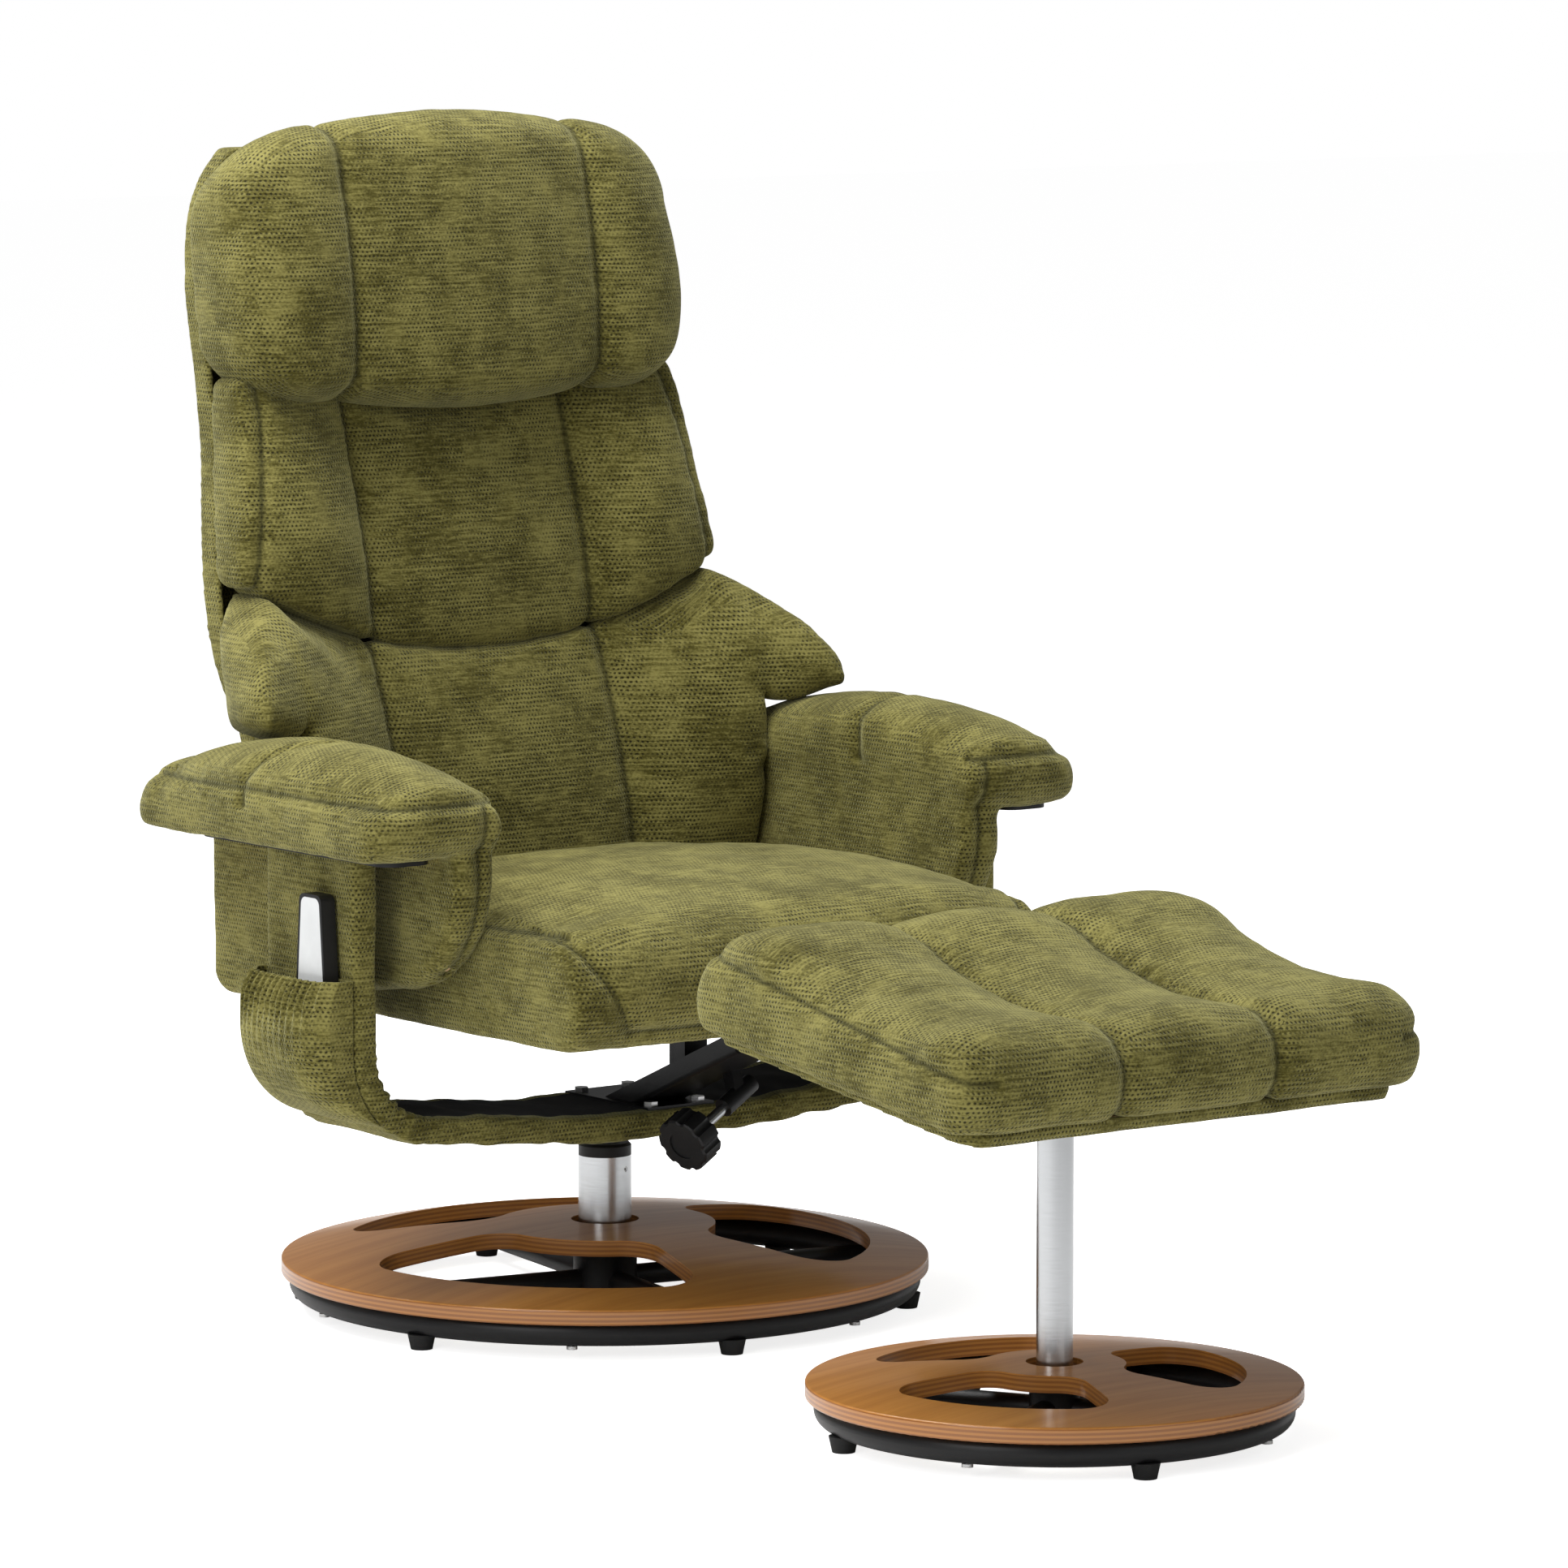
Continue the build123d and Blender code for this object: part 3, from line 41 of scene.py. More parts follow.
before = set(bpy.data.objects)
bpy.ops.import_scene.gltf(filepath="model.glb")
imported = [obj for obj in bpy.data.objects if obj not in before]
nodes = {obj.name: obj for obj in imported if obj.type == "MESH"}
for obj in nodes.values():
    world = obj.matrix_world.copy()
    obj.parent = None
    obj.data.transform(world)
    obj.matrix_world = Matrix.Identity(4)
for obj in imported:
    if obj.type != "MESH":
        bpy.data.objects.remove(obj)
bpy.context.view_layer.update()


class RECLINER_PG_upholstery(bpy.types.PropertyGroup):
    """Sizes of the padding and its seams, and the colours of the cloth."""

    voxel: bpy.props.FloatProperty(
        name="Cloth cell", description="Edge length of the cloth before it is refined",
        default=0.006, unit="LENGTH")
    shrink: bpy.props.FloatProperty(
        name="Shrink", description="How far a pad is drawn in before it is filled",
        default=0.001, unit="LENGTH")
    pressure: bpy.props.FloatProperty(
        name="Filling", description="Pressure of the padding", default=4.0)
    swell: bpy.props.FloatProperty(
        name="Swell", description="The furthest that the filling moves the cloth",
        default=0.010, unit="LENGTH")
    seam_depth: bpy.props.FloatProperty(
        name="Seam depth", description="How deep a seam is drawn in", default=0.0045, unit="LENGTH")
    seam_width: bpy.props.FloatProperty(
        name="Seam width", description="Half-width of the valley along a seam",
        default=0.007, unit="LENGTH")
    dot_pitch: bpy.props.FloatProperty(
        name="Dot pitch", description="Distance between the pinholes of the knit",
        default=0.0040, unit="LENGTH")
    pile_dark: bpy.props.FloatVectorProperty(
        name="Pile, dark", description="Colour in the pinholes of the knit", subtype="COLOR",
        size=4, default=(0.010, 0.0085, 0.001, 1.0))
    pile_middle: bpy.props.FloatVectorProperty(
        name="Pile, middle", description="Colour of the pile", subtype="COLOR", size=4,
        default=(0.062, 0.053, 0.0075, 1.0))
    pile_light: bpy.props.FloatVectorProperty(
        name="Pile, light", description="Colour of the light streaks", subtype="COLOR", size=4,
        default=(0.240, 0.215, 0.062, 1.0))


class RECLINER_PG_finishes(bpy.types.PropertyGroup):
    """Colours of the wood, the steel and the plastics."""

    wood_light: bpy.props.FloatVectorProperty(
        name="Ply, light", description="Light grain of the lacquered plywood", subtype="COLOR",
        size=4, default=(0.560, 0.235, 0.044, 1.0))
    wood_dark: bpy.props.FloatVectorProperty(
        name="Ply, dark", description="Dark grain of the lacquered plywood", subtype="COLOR",
        size=4, default=(0.440, 0.168, 0.026, 1.0))
    coat_black: bpy.props.FloatVectorProperty(
        name="Black coat", description="Powder coat of the steel", subtype="COLOR", size=4,
        default=(0.006, 0.006, 0.0065, 1.0))
    plastic_black: bpy.props.FloatVectorProperty(
        name="Black plastic", description="Knob, bushes and handset", subtype="COLOR", size=4,
        default=(0.007, 0.007, 0.0075, 1.0))
    chrome: bpy.props.FloatVectorProperty(
        name="Chrome", description="Posts and column", subtype="COLOR", size=4,
        default=(0.52, 0.53, 0.54, 1.0))


class RECLINER_PG_stage(bpy.types.PropertyGroup):
    """Floor, light and camera."""

    floor: bpy.props.FloatVectorProperty(
        name="Floor", description="Colour of the floor", subtype="COLOR", size=4,
        default=(0.96, 0.96, 0.96, 1.0))
    sky: bpy.props.FloatProperty(
        name="Room light", description="Strength of the light from all round", default=0.20)
    key_power: bpy.props.FloatProperty(
        name="Key light", description="Power of the large lamp", default=205.0, unit="POWER")
    camera_place: bpy.props.FloatVectorProperty(
        name="Camera", description="Place of the camera", subtype="TRANSLATION", unit="LENGTH",
        default=(-4.4271, -6.1158, 1.378))
    camera_aim: bpy.props.FloatVectorProperty(
        name="Aim", description="Direction of the camera", subtype="DIRECTION",
        default=(0.60021, 0.79132, -0.11650))
    camera_lens: bpy.props.FloatProperty(
        name="Lens", description="Focal length on a 36 mm sensor", default=186.34)


def upholstery():
    return bpy.context.scene.recliner_upholstery


def finishes():
    return bpy.context.scene.recliner_finishes


# Mesh helpers

LUMPS = 0.0016
PUCKER_REACH = 0.022
PUCKER_HEIGHT = 0.0013
SIMULATED_FRAMES = 20


def activate(obj):
    """Select obj alone."""
    bpy.ops.object.select_all(action="DESELECT")
    obj.select_set(True)
    bpy.context.view_layer.objects.active = obj


def apply_modifier(obj, modifier):
    """Make a modifier's result the mesh."""
    activate(obj)
    bpy.ops.object.modifier_apply(modifier=modifier.name)


def copy_of_nodes(name, *names):
    """One new object holding copies of CAD nodes, with their corners merged."""
    copies = []
    for node in names:
        copy = nodes[node].copy()
        copy.data = nodes[node].data.copy()
        for key in list(copy.keys()):
            del copy[key]
        copy.hide_render = False
        copy.hide_viewport = False
        bpy.context.scene.collection.objects.link(copy)
        copies.append(copy)
    activate(copies[0])
    for copy in copies:
        copy.select_set(True)
    if len(copies) > 1:
        bpy.ops.object.join()
    piece = bpy.context.view_layer.objects.active
    piece.name = name
    piece.data.name = name
    piece.data.materials.clear()
    bpy.ops.object.mode_set(mode="EDIT")
    bpy.ops.mesh.select_all(action="SELECT")
    bpy.ops.mesh.remove_doubles(threshold=0.00002)
    bpy.ops.object.mode_set(mode="OBJECT")
    return piece


def remesh(piece, size):
    """Rebuild the mesh in even cells."""
    cells = piece.modifiers.new("Cells", "REMESH")
    cells.mode = "VOXEL"
    cells.voxel_size = size
    apply_modifier(piece, cells)


def smooth(piece, factor, times):
    """Relax the mesh."""
    relax = piece.modifiers.new("Relax", "SMOOTH")
    relax.factor = factor
    relax.iterations = times
    apply_modifier(piece, relax)


def refine(piece):
    """Divide the mesh once, smoothly."""
    finer = piece.modifiers.new("Finer", "SUBSURF")
    finer.levels = 1
    finer.render_levels = 1
    apply_modifier(piece, finer)


def shift_along_normals(piece, amount):
    """Move the surface out, or in where the amount is negative."""
    draw = piece.modifiers.new("Draw", "DISPLACE")
    draw.strength = amount
    draw.mid_level = 0.0
    apply_modifier(piece, draw)


def fill_with_padding(piece, held, swell):
    """Blow the cloth up with a Cloth simulation, holding the points that held() names."""
    start = [v.co.copy() for v in piece.data.vertices]
    group = piece.vertex_groups.new(name="held")
    still = [v.index for v in piece.data.vertices if held(v.co)]
    group.add(still, 1.0, "REPLACE")
    cloth = piece.modifiers.new("Padding", "CLOTH")
    cloth.settings.quality = 4
    cloth.settings.mass = 0.3
    cloth.settings.bending_stiffness = 0.4
    cloth.settings.use_pressure = True
    cloth.settings.uniform_pressure_force = upholstery().pressure
    cloth.settings.vertex_group_mass = group.name
    cloth.settings.effector_weights.gravity = 0
    cloth.collision_settings.use_collision = False
    cloth.point_cache.frame_start = 1
    cloth.point_cache.frame_end = SIMULATED_FRAMES
    scene = bpy.context.scene
    for step in range(1, SIMULATED_FRAMES + 1):
        scene.frame_set(step)
    apply_modifier(piece, cloth)
    scene.frame_set(1)
    for vertex, place in zip(piece.data.vertices, start):
        move = vertex.co - place
        if move.length > swell:
            vertex.co = place + move.normalized() * swell
    piece.vertex_groups.clear()


def press_seams(piece, seams, lumps=LUMPS):
    """Draw the cloth in along its seams, with puckers beside them, and store a mask along them for the
    shade that is painted into the seams.
    """
    width = upholstery().seam_width
    depth = upholstery().seam_depth
    mesh = piece.data
    normals = [v.normal.copy() for v in mesh.vertices]
    shade = mesh.attributes.new("seam", "FLOAT", "POINT")
    values = []
    for vertex, normal in zip(mesh.vertices, normals):
        place = vertex.co.copy()
        gap = min((seam(place) for seam in seams), default=1.0)
        valley = math.exp(-(gap / width) ** 2)
        pucker = math.exp(-gap / PUCKER_REACH) * noise.noise(place * 85) * PUCKER_HEIGHT
        soft = noise.noise(place * 16) * lumps + noise.noise(place * 45) * lumps * 0.35
        vertex.co = place + normal * (soft + pucker - valley * depth)
        # Narrow mask along each seam; the cloth material uses it to paint shade into the groove.
        values.append(math.exp(-(gap / (0.34 * width)) ** 2))
    shade.data.foreach_set("value", values)
    mesh.update()


def make_pad(name, source, held, seams, voxel=None, swell=None, lumps=LUMPS, relax=3,
             shape=None, plump=0.003):
    """A padded piece from CAD solids: remeshed, filled, refined, with its seams pressed in."""
    piece = copy_of_nodes(name, *source)
    sizes = upholstery()
    remesh(piece, voxel or sizes.voxel)
    smooth(piece, 0.5, relax)
    if shape:
        for vertex in piece.data.vertices:
            vertex.co.z += shape(vertex.co)
    shift_along_normals(piece, -sizes.shrink)
    near = sizes.seam_width * 0.6
    fill_with_padding(
        piece, lambda p: held(p) or any(s(p) < near for s in seams), swell or sizes.swell)
    smooth(piece, 0.5, 2)
    shift_along_normals(piece, plump)
    refine(piece)
    press_seams(piece, seams, lumps)
    return finish_piece(piece, chenille_material())


def finish_piece(piece, material):
    """Smooth shading, material and slot."""
    activate(piece)
    bpy.ops.object.shade_smooth()
    piece.data.materials.clear()
    piece.data.materials.append(material)
    return piece


# Shader helpers

def new_material(name):
    """A new material, its node tree and its Principled shader; no tree if it was made before."""
    found = bpy.data.materials.get(name)
    if found:
        return found, None, None
    material = bpy.data.materials.new(name)
    material.use_nodes = True
    tree = material.node_tree
    return material, tree, tree.nodes["Principled BSDF"]


def put(tree, socket, value):
    """Link an output socket to an input, or set the input's own value."""
    if isinstance(value, bpy.types.NodeSocket):
        tree.links.new(value, socket)
    else:
        socket.default_value = value


def calc(tree, operation, first, second=0.0):
    node = tree.nodes.new("ShaderNodeMath")
    node.operation = operation
    for socket, value in zip(node.inputs, (first, second)):
        put(tree, socket, value)
    return node.outputs[0]


def mix(tree, kind, factor, first, second):
    node = tree.nodes.new("ShaderNodeMix")
    node.data_type = kind
    put(tree, node.inputs["Factor"], factor)
    put(tree, node.inputs["A"], first)
    put(tree, node.inputs["B"], second)
    return node.outputs["Result"]


def mix_colour(tree, factor, first, second):
    return mix(tree, "RGBA", factor, first, second)


def mix_value(tree, factor, first, second):
    return mix(tree, "FLOAT", factor, first, second)


def noise_of(tree, vector, scale, detail=2.0, roughness=0.5):
    node = tree.nodes.new("ShaderNodeTexNoise")
    put(tree, node.inputs["Vector"], vector)
    put(tree, node.inputs["Scale"], scale)
    put(tree, node.inputs["Detail"], detail)
    put(tree, node.inputs["Roughness"], roughness)
    return node.outputs["Fac"]


def combine(tree, x, y, z=0.0):
    node = tree.nodes.new("ShaderNodeCombineXYZ")
    for socket, value in zip(node.inputs, (x, y, z)):
        put(tree, socket, value)
    return node.outputs[0]


def object_place(tree):
    """The Object coordinates, and their x, y and z."""
    coordinates = tree.nodes.new("ShaderNodeTexCoord")
    place = tree.nodes.new("ShaderNodeSeparateXYZ")
    tree.links.new(coordinates.outputs["Object"], place.inputs[0])
    return coordinates, place.outputs


def stretched(tree, place, *scales):
    """Coordinates scaled along each axis, for a grain or a streak."""
    return combine(tree, *(calc(tree, "MULTIPLY", axis, scale) for axis, scale in zip(place, scales)))


def step_up(tree, value, low, high):
    """0 below low, 1 above high, smooth between."""
    node = tree.nodes.new("ShaderNodeMapRange")
    node.interpolation_type = "SMOOTHSTEP"
    put(tree, node.inputs["Value"], value)
    put(tree, node.inputs["From Min"], low)
    put(tree, node.inputs["From Max"], high)
    return node.outputs["Result"]


def bump(tree, shader, height, distance, strength=1.0):
    node = tree.nodes.new("ShaderNodeBump")
    node.inputs["Distance"].default_value = distance
    node.inputs["Strength"].default_value = strength
    put(tree, node.inputs["Height"], height)
    tree.links.new(node.outputs["Normal"], shader.inputs["Normal"])


def new_group(name, inputs, outputs):
    """An empty shader group with the named value sockets."""
    tree = bpy.data.node_groups.new(name, "ShaderNodeTree")
    for in_out, labels in (("INPUT", inputs), ("OUTPUT", outputs)):
        for label in labels:
            tree.interface.new_socket(name=label, in_out=in_out, socket_type="NodeSocketFloat")
    return tree, tree.nodes.new("NodeGroupInput").outputs, tree.nodes.new("NodeGroupOutput").inputs


def place_group(tree, group, **values):
    node = tree.nodes.new("ShaderNodeGroup")
    node.node_tree = group
    for label, value in values.items():
        put(tree, node.inputs[label], value)
    return node.outputs


def knit_group():
    """Offset rows of pinholes with slub streaks, laid flat on whichever way the surface faces."""
    found = bpy.data.node_groups.get("Pinhole knit")
    if found:
        return found
    tree, given, out = new_group("Pinhole knit", ["Pitch"], ["Hole", "Streak", "Blotch", "Height"])
    coordinates, (x, y, z) = object_place(tree)
    spot = coordinates.outputs["Object"]
    facing = tree.nodes.new("ShaderNodeSeparateXYZ")
    tree.links.new(coordinates.outputs["Normal"], facing.inputs[0])
    sideways, forwards, upwards = [calc(tree, "ABSOLUTE", axis) for axis in facing.outputs]
    is_side = calc(tree, "GREATER_THAN", sideways, calc(tree, "MAXIMUM", forwards, upwards))
    is_top = calc(tree, "GREATER_THAN", upwards, calc(tree, "MAXIMUM", forwards, sideways))
    across = mix_value(tree, is_side, x, y)
    along = mix_value(tree, is_top, z, y)
    wobble = calc(tree, "MULTIPLY", calc(tree, "SUBTRACT", noise_of(tree, spot, 130.0), 0.5), 0.0022)
    row_place = calc(tree, "DIVIDE", calc(tree, "ADD", along, wobble), given["Pitch"])
    row = calc(tree, "FLOOR", row_place)
    half_step = calc(tree, "MULTIPLY", calc(tree, "MODULO", calc(tree, "ABSOLUTE", row), 2.0), 0.5)
    column_place = calc(tree, "DIVIDE", calc(tree, "ADD", across, wobble), given["Pitch"])
    dot_place = calc(tree, "ADD", column_place, half_step)
    off_row = calc(tree, "SUBTRACT", calc(tree, "FRACT", row_place), 0.5)
    off_dot = calc(tree, "SUBTRACT", calc(tree, "FRACT", dot_place), 0.5)
    reach = calc(tree, "SQRT", calc(tree, "ADD", calc(tree, "MULTIPLY", off_row, off_row),
                                    calc(tree, "MULTIPLY", off_dot, off_dot)))
    patchy = step_up(tree, noise_of(tree, spot, 38.0, 3.0, 0.6), 0.25, 0.62)
    pinhole = calc(tree, "SUBTRACT", 1.0, step_up(tree, reach, 0.10, 0.40))
    hole = calc(tree, "MULTIPLY", pinhole, patchy)
    streak = noise_of(tree, stretched(tree, (across, along), 22.0, 300.0), 1.0, 3.0, 0.6)
    slub = noise_of(tree, stretched(tree, (across, along), 90.0, 420.0), 1.0, 2.0, 0.6)
    blotch = noise_of(tree, spot, 17.0, 4.0, 0.62)
    speck = noise_of(tree, spot, 420.0, 3.0, 0.7)
    thread = calc(tree, "ADD", calc(tree, "MULTIPLY", slub, 0.35), calc(tree, "MULTIPLY", speck, 0.35))
    put(tree, out["Hole"], hole)
    put(tree, out["Streak"], calc(tree, "ADD", calc(tree, "MULTIPLY", streak, 0.40), thread))
    put(tree, out["Blotch"], blotch)
    put(tree, out["Height"], calc(tree, "SUBTRACT", calc(tree, "MULTIPLY", slub, 0.7), hole))
    return tree


def fine_grain_group():
    """Small even grain for paint, plastic and rubber."""
    found = bpy.data.node_groups.get("Fine grain")
    if found:
        return found
    tree, given, out = new_group("Fine grain", ["Scale"], ["Height", "Patch"])
    spot = tree.nodes.new("ShaderNodeTexCoord").outputs["Object"]
    put(tree, out["Height"], noise_of(tree, spot, given["Scale"], 2.0))
    put(tree, out["Patch"], noise_of(tree, spot, 14.0, 4.0, 0.6))
    return tree


# Finishes

# Near-black olive that is painted into the seam grooves of the chenille as shade.
PAINTED_SEAM_SHADE = (0.010, 0.010, 0.002, 1.0)
LINING_LIGHT = (0.016, 0.016, 0.016, 1.0)
LINING_DARK = (0.004, 0.004, 0.004, 1.0)
VENEER_LIGHT = (0.47, 0.190, 0.036, 1.0)
VENEER_DARK = (0.31, 0.110, 0.020, 1.0)
VENEER_THICKNESS = 0.0021
DISC_DOME_RADIUS = 1.426 + 0.015
BOARD_DARK = (0.45, 0.29, 0.14, 1.0)
BOARD_LIGHT = (0.62, 0.45, 0.26, 1.0)
RUBBER = (0.012, 0.012, 0.012, 1.0)
HANDSET_WHITE = (0.55, 0.56, 0.56, 1.0)
ZINC = (0.5, 0.5, 0.5, 1.0)
FLAG_BLACK = (0.003, 0.003, 0.003, 1.0)
WHITE = (1.0, 1.0, 1.0, 1.0)


def chenille_material():
    """Olive chenille: dotted, streaked and blotchy, with shade painted dark along its seams."""
    material, tree, shader = new_material("Olive chenille")
    if tree is None:
        return material
    cloth = upholstery()
    weave = place_group(tree, knit_group(), Pitch=cloth.dot_pitch)
    seam = tree.nodes.new("ShaderNodeAttribute")
    seam.attribute_name = "seam"
    streaks = calc(tree, "MULTIPLY", weave["Streak"], 0.90)
    blotches = calc(tree, "MULTIPLY", weave["Blotch"], 0.40)
    lit = step_up(tree, calc(tree, "ADD", streaks, blotches), 0.56, 0.82)
    yarn = mix_colour(tree, lit, tuple(cloth.pile_middle), tuple(cloth.pile_light))
    holes = calc(tree, "MULTIPLY", weave["Hole"], 0.95)
    dotted = mix_colour(tree, holes, yarn, tuple(cloth.pile_dark))
    # Painted shade: the base colour goes towards near-black along the seam grooves, on top of the
    # valley that the mesh already has.
    painted_seam_shade = calc(tree, "MULTIPLY", seam.outputs["Fac"], 0.78)
    put(tree, shader.inputs["Base Color"], mix_colour(tree, painted_seam_shade, dotted, PAINTED_SEAM_SHADE))
    gloss = calc(tree, "MULTIPLY", lit, 0.12)
    put(tree, shader.inputs["Roughness"], calc(tree, "SUBTRACT", 0.97, gloss))
    shader.inputs["Specular IOR Level"].default_value = 0.15
    shader.inputs["Sheen Weight"].default_value = 0.38
    shader.inputs["Sheen Roughness"].default_value = 0.5
    shader.inputs["Sheen Tint"].default_value = (0.75, 0.74, 0.42, 1.0)
    bump(tree, shader, weave["Height"], 0.0011, 0.75)
    return material


def black_cloth_material():
    """Black woven lining and webbing."""
    material, tree, shader = new_material("Black lining cloth")
    if tree is None:
        return material
    weave = place_group(tree, knit_group(), Pitch=0.0012)
    put(tree, shader.inputs["Base Color"], mix_colour(tree, weave["Hole"], LINING_LIGHT, LINING_DARK))
    shader.inputs["Roughness"].default_value = 0.95
    bump(tree, shader, weave["Height"], 0.0003)
    return material


def plywood_material(name, centre, dome_radius, dome_top):
    """Lacquered beech ply: grain on the faces, layers on every edge of the dome."""
    material, tree, shader = new_material(name)
    if tree is None:
        return material
    wood = finishes()
    coordinates, place = object_place(tree)
    offset = tree.nodes.new("ShaderNodeVectorMath")
    offset.operation = "DISTANCE"
    tree.links.new(coordinates.outputs["Object"], offset.inputs[0])
    offset.inputs[1].default_value = (centre[0], centre[1], dome_top - dome_radius)
    depth = calc(tree, "SUBTRACT", dome_radius, offset.outputs["Value"])
    layer = calc(tree, "DIVIDE", depth, VENEER_THICKNESS)
    odd = calc(tree, "LESS_THAN", calc(tree, "MODULO", layer, 2.0), 1.0)
    inside = step_up(tree, depth, 0.0009, 0.0013)
    grain = noise_of(tree, stretched(tree, place, 4.0, 70.0, 4.0), 1.0, 5.0, 0.62)
    pores = noise_of(tree, stretched(tree, place, 30.0, 900.0), 1.0, 2.0)
    light, dark = tuple(wood.wood_light), tuple(wood.wood_dark)
    face = mix_colour(tree, step_up(tree, grain, 0.3, 0.72), light, dark)
    pore_shade = calc(tree, "MULTIPLY", step_up(tree, pores, 0.58, 0.7), 0.35)
    face = mix_colour(tree, pore_shade, face, dark)
    edge = mix_colour(tree, odd, VENEER_LIGHT, VENEER_DARK)
    put(tree, shader.inputs["Base Color"], mix_colour(tree, inside, face, edge))
    put(tree, shader.inputs["Roughness"], mix_value(tree, grain, 0.30, 0.42))
    shader.inputs["Coat Weight"].default_value = 0.55
    shader.inputs["Coat Roughness"].default_value = 0.16
    bump(tree, shader, pores, 0.0001, 0.5)
    return material


def grained_material(name, colour, roughness, metallic=0.0, scale=900.0, relief=0.0002, coat=0.0):
    """Paint, plastic or rubber with a fine grain and slightly uneven gloss."""
    material, tree, shader = new_material(name)
    if tree is None:
        return material
    grain = place_group(tree, fine_grain_group(), Scale=scale)
    worn = tuple(min(1.0, c * 1.7) for c in colour[:3]) + (1.0,)
    put(tree, shader.inputs["Base Color"], mix_colour(tree, grain["Patch"], tuple(colour), worn))
    uneven = mix_value(tree, grain["Patch"], roughness - 0.06, roughness + 0.08)
    put(tree, shader.inputs["Roughness"], uneven)
    shader.inputs["Metallic"].default_value = metallic
    shader.inputs["Coat Weight"].default_value = coat
    shader.inputs["Specular IOR Level"].default_value = 0.35
    bump(tree, shader, grain["Height"], relief, 0.6)
    return material


def chrome_material():
    """Chrome with faint marks round the tube."""
    material, tree, shader = new_material("Chromed tube")
    if tree is None:
        return material
    place = object_place(tree)[1]
    rub = noise_of(tree, stretched(tree, place, 60.0, 60.0, 900.0), 1.0, 3.0)
    shader.inputs["Base Color"].default_value = tuple(finishes().chrome)
    shader.inputs["Metallic"].default_value = 1.0
    put(tree, shader.inputs["Roughness"], mix_value(tree, rub, 0.16, 0.3))
    bump(tree, shader, rub, 0.00003, 0.4)
    return material


def raw_wood_material():
    """Unlacquered boards inside the arms, the seat and the stool."""
    material, tree, shader = new_material("Raw board")
    if tree is None:
        return material
    place = object_place(tree)[1]
    grain = noise_of(tree, stretched(tree, place, 60.0, 5.0, 60.0), 1.0, 4.0)
    put(tree, shader.inputs["Base Color"], mix_colour(tree, grain, BOARD_DARK, BOARD_LIGHT))
    shader.inputs["Roughness"].default_value = 0.8
    return material


def dress(material, *names):
    """Give CAD nodes a finished material."""
    for name in names:
        mesh = nodes[name].data
        mesh.materials.clear()
        mesh.materials.append(material)


# Places on the chair, in metres, read from the frame

upper_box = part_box("back_upper_cushion")
seat_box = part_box("seat_cushion")
sleeve_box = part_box("yoke_sleeve")
pocket_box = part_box("handset_pocket")
pad_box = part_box("arm_pad_left")
stool_axis = Vector((-0.066, -0.753, 0.320))
stool_tilt = math.radians(8)
back_lean = math.tan(math.radians(16))
pivot = Vector((0.0, 0.180, 0.430))
neck_height = 0.850
neck_curve = 0.86


def behind_back(p):
    """How far a point stands in front of the back's rear line."""
    over = max(0.0, p.z - neck_height)
    return pivot.y + (p.z - pivot.z) * back_lean - neck_curve * over ** 2 - p.y


def above_stool(p):
    """Height of a point over the stool's tilted board."""
    return (p.z - stool_axis.z) * math.cos(stool_tilt) - (p.y - stool_axis.y) * math.sin(stool_tilt)


def arm_seams(side, under):
    """Cross seam, outer edge seam and front edge seam of an arm."""
    def cross(p):
        return abs(p.y + 0.040 - (side * p.x - 0.270) * 0.31) if p.z > under + 0.03 else 1.0

    def outer_edge(p):
        outside = side * p.x > 0.372 or p.y < -0.200
        return abs(p.z - under - 0.050) if outside else 1.0

    def front_edge(p):
        return abs(side * p.x - 0.286) if p.y < -0.150 and p.z < under + 0.050 else 1.0

    return [cross, outer_edge, front_edge]


def seat_seams():
    """Seams along the seat's sides, down its front corners and along its lower front edge."""
    def side_edge(p):
        return abs(p.z - 0.402) if abs(p.x) > 0.248 and p.y > -0.300 else 1.0

    def corner(p):
        inward = 0.250 - 0.55 * (0.385 - p.z)
        return abs(abs(p.x) - inward) if p.y < -0.255 and 0.309 < p.z < 0.400 else 1.0

    def lower_front(p):
        return abs(p.z - 0.312) if p.y < -0.255 and abs(p.x) < 0.212 else 1.0

    return [side_edge, corner, lower_front]


def stool_end_seam(p):
    """Seam round each end of the stool, over its end panel."""
    out = abs(p.x - stool_axis.x) - 0.222
    return abs(above_stool(p) - 0.072 - 0.058 * (p.y - stool_axis.y)) if out > 0 else 1.0


def upper_edge_seam(p):
    """Seam along the slanting outer edges of the upper cushion."""
    return abs(abs(p.x) - 0.264 + (p.z - 0.680) * 0.162)


def upright_seam(x, centre=0.0):
    """Seam in the upright planes at -x and +x from the centre."""
    return lambda p: abs(abs(p.x - centre) - x)


def ramp(value, low, high):
    """0 below low, 1 above high, smooth between."""
    share = min(1.0, max(0.0, (value - low) / (high - low)))
    return share * share * (3 - 2 * share)


def tuck_under_headrest(p):
    """Lift of the upper cushion's top edge, up to the headrest's round lower edge."""
    lift = 0.004 + 0.014 * ramp(abs(p.x), 0.0, 0.140) + 0.028 * ramp(abs(p.x), 0.190, 0.262)
    return lift * ramp(p.z, upper_box[1].z - 0.080, upper_box[1].z)


def droop_wings(p):
    """Drop of the wings' lower edge beside the bolsters, down towards the arms."""
    beside = ramp(abs(p.x), 0.262, 0.284) * (1 - ramp(abs(p.x), 0.285, 0.335))
    return -0.014 * beside * (1 - ramp(p.z, 0.562, 0.622))


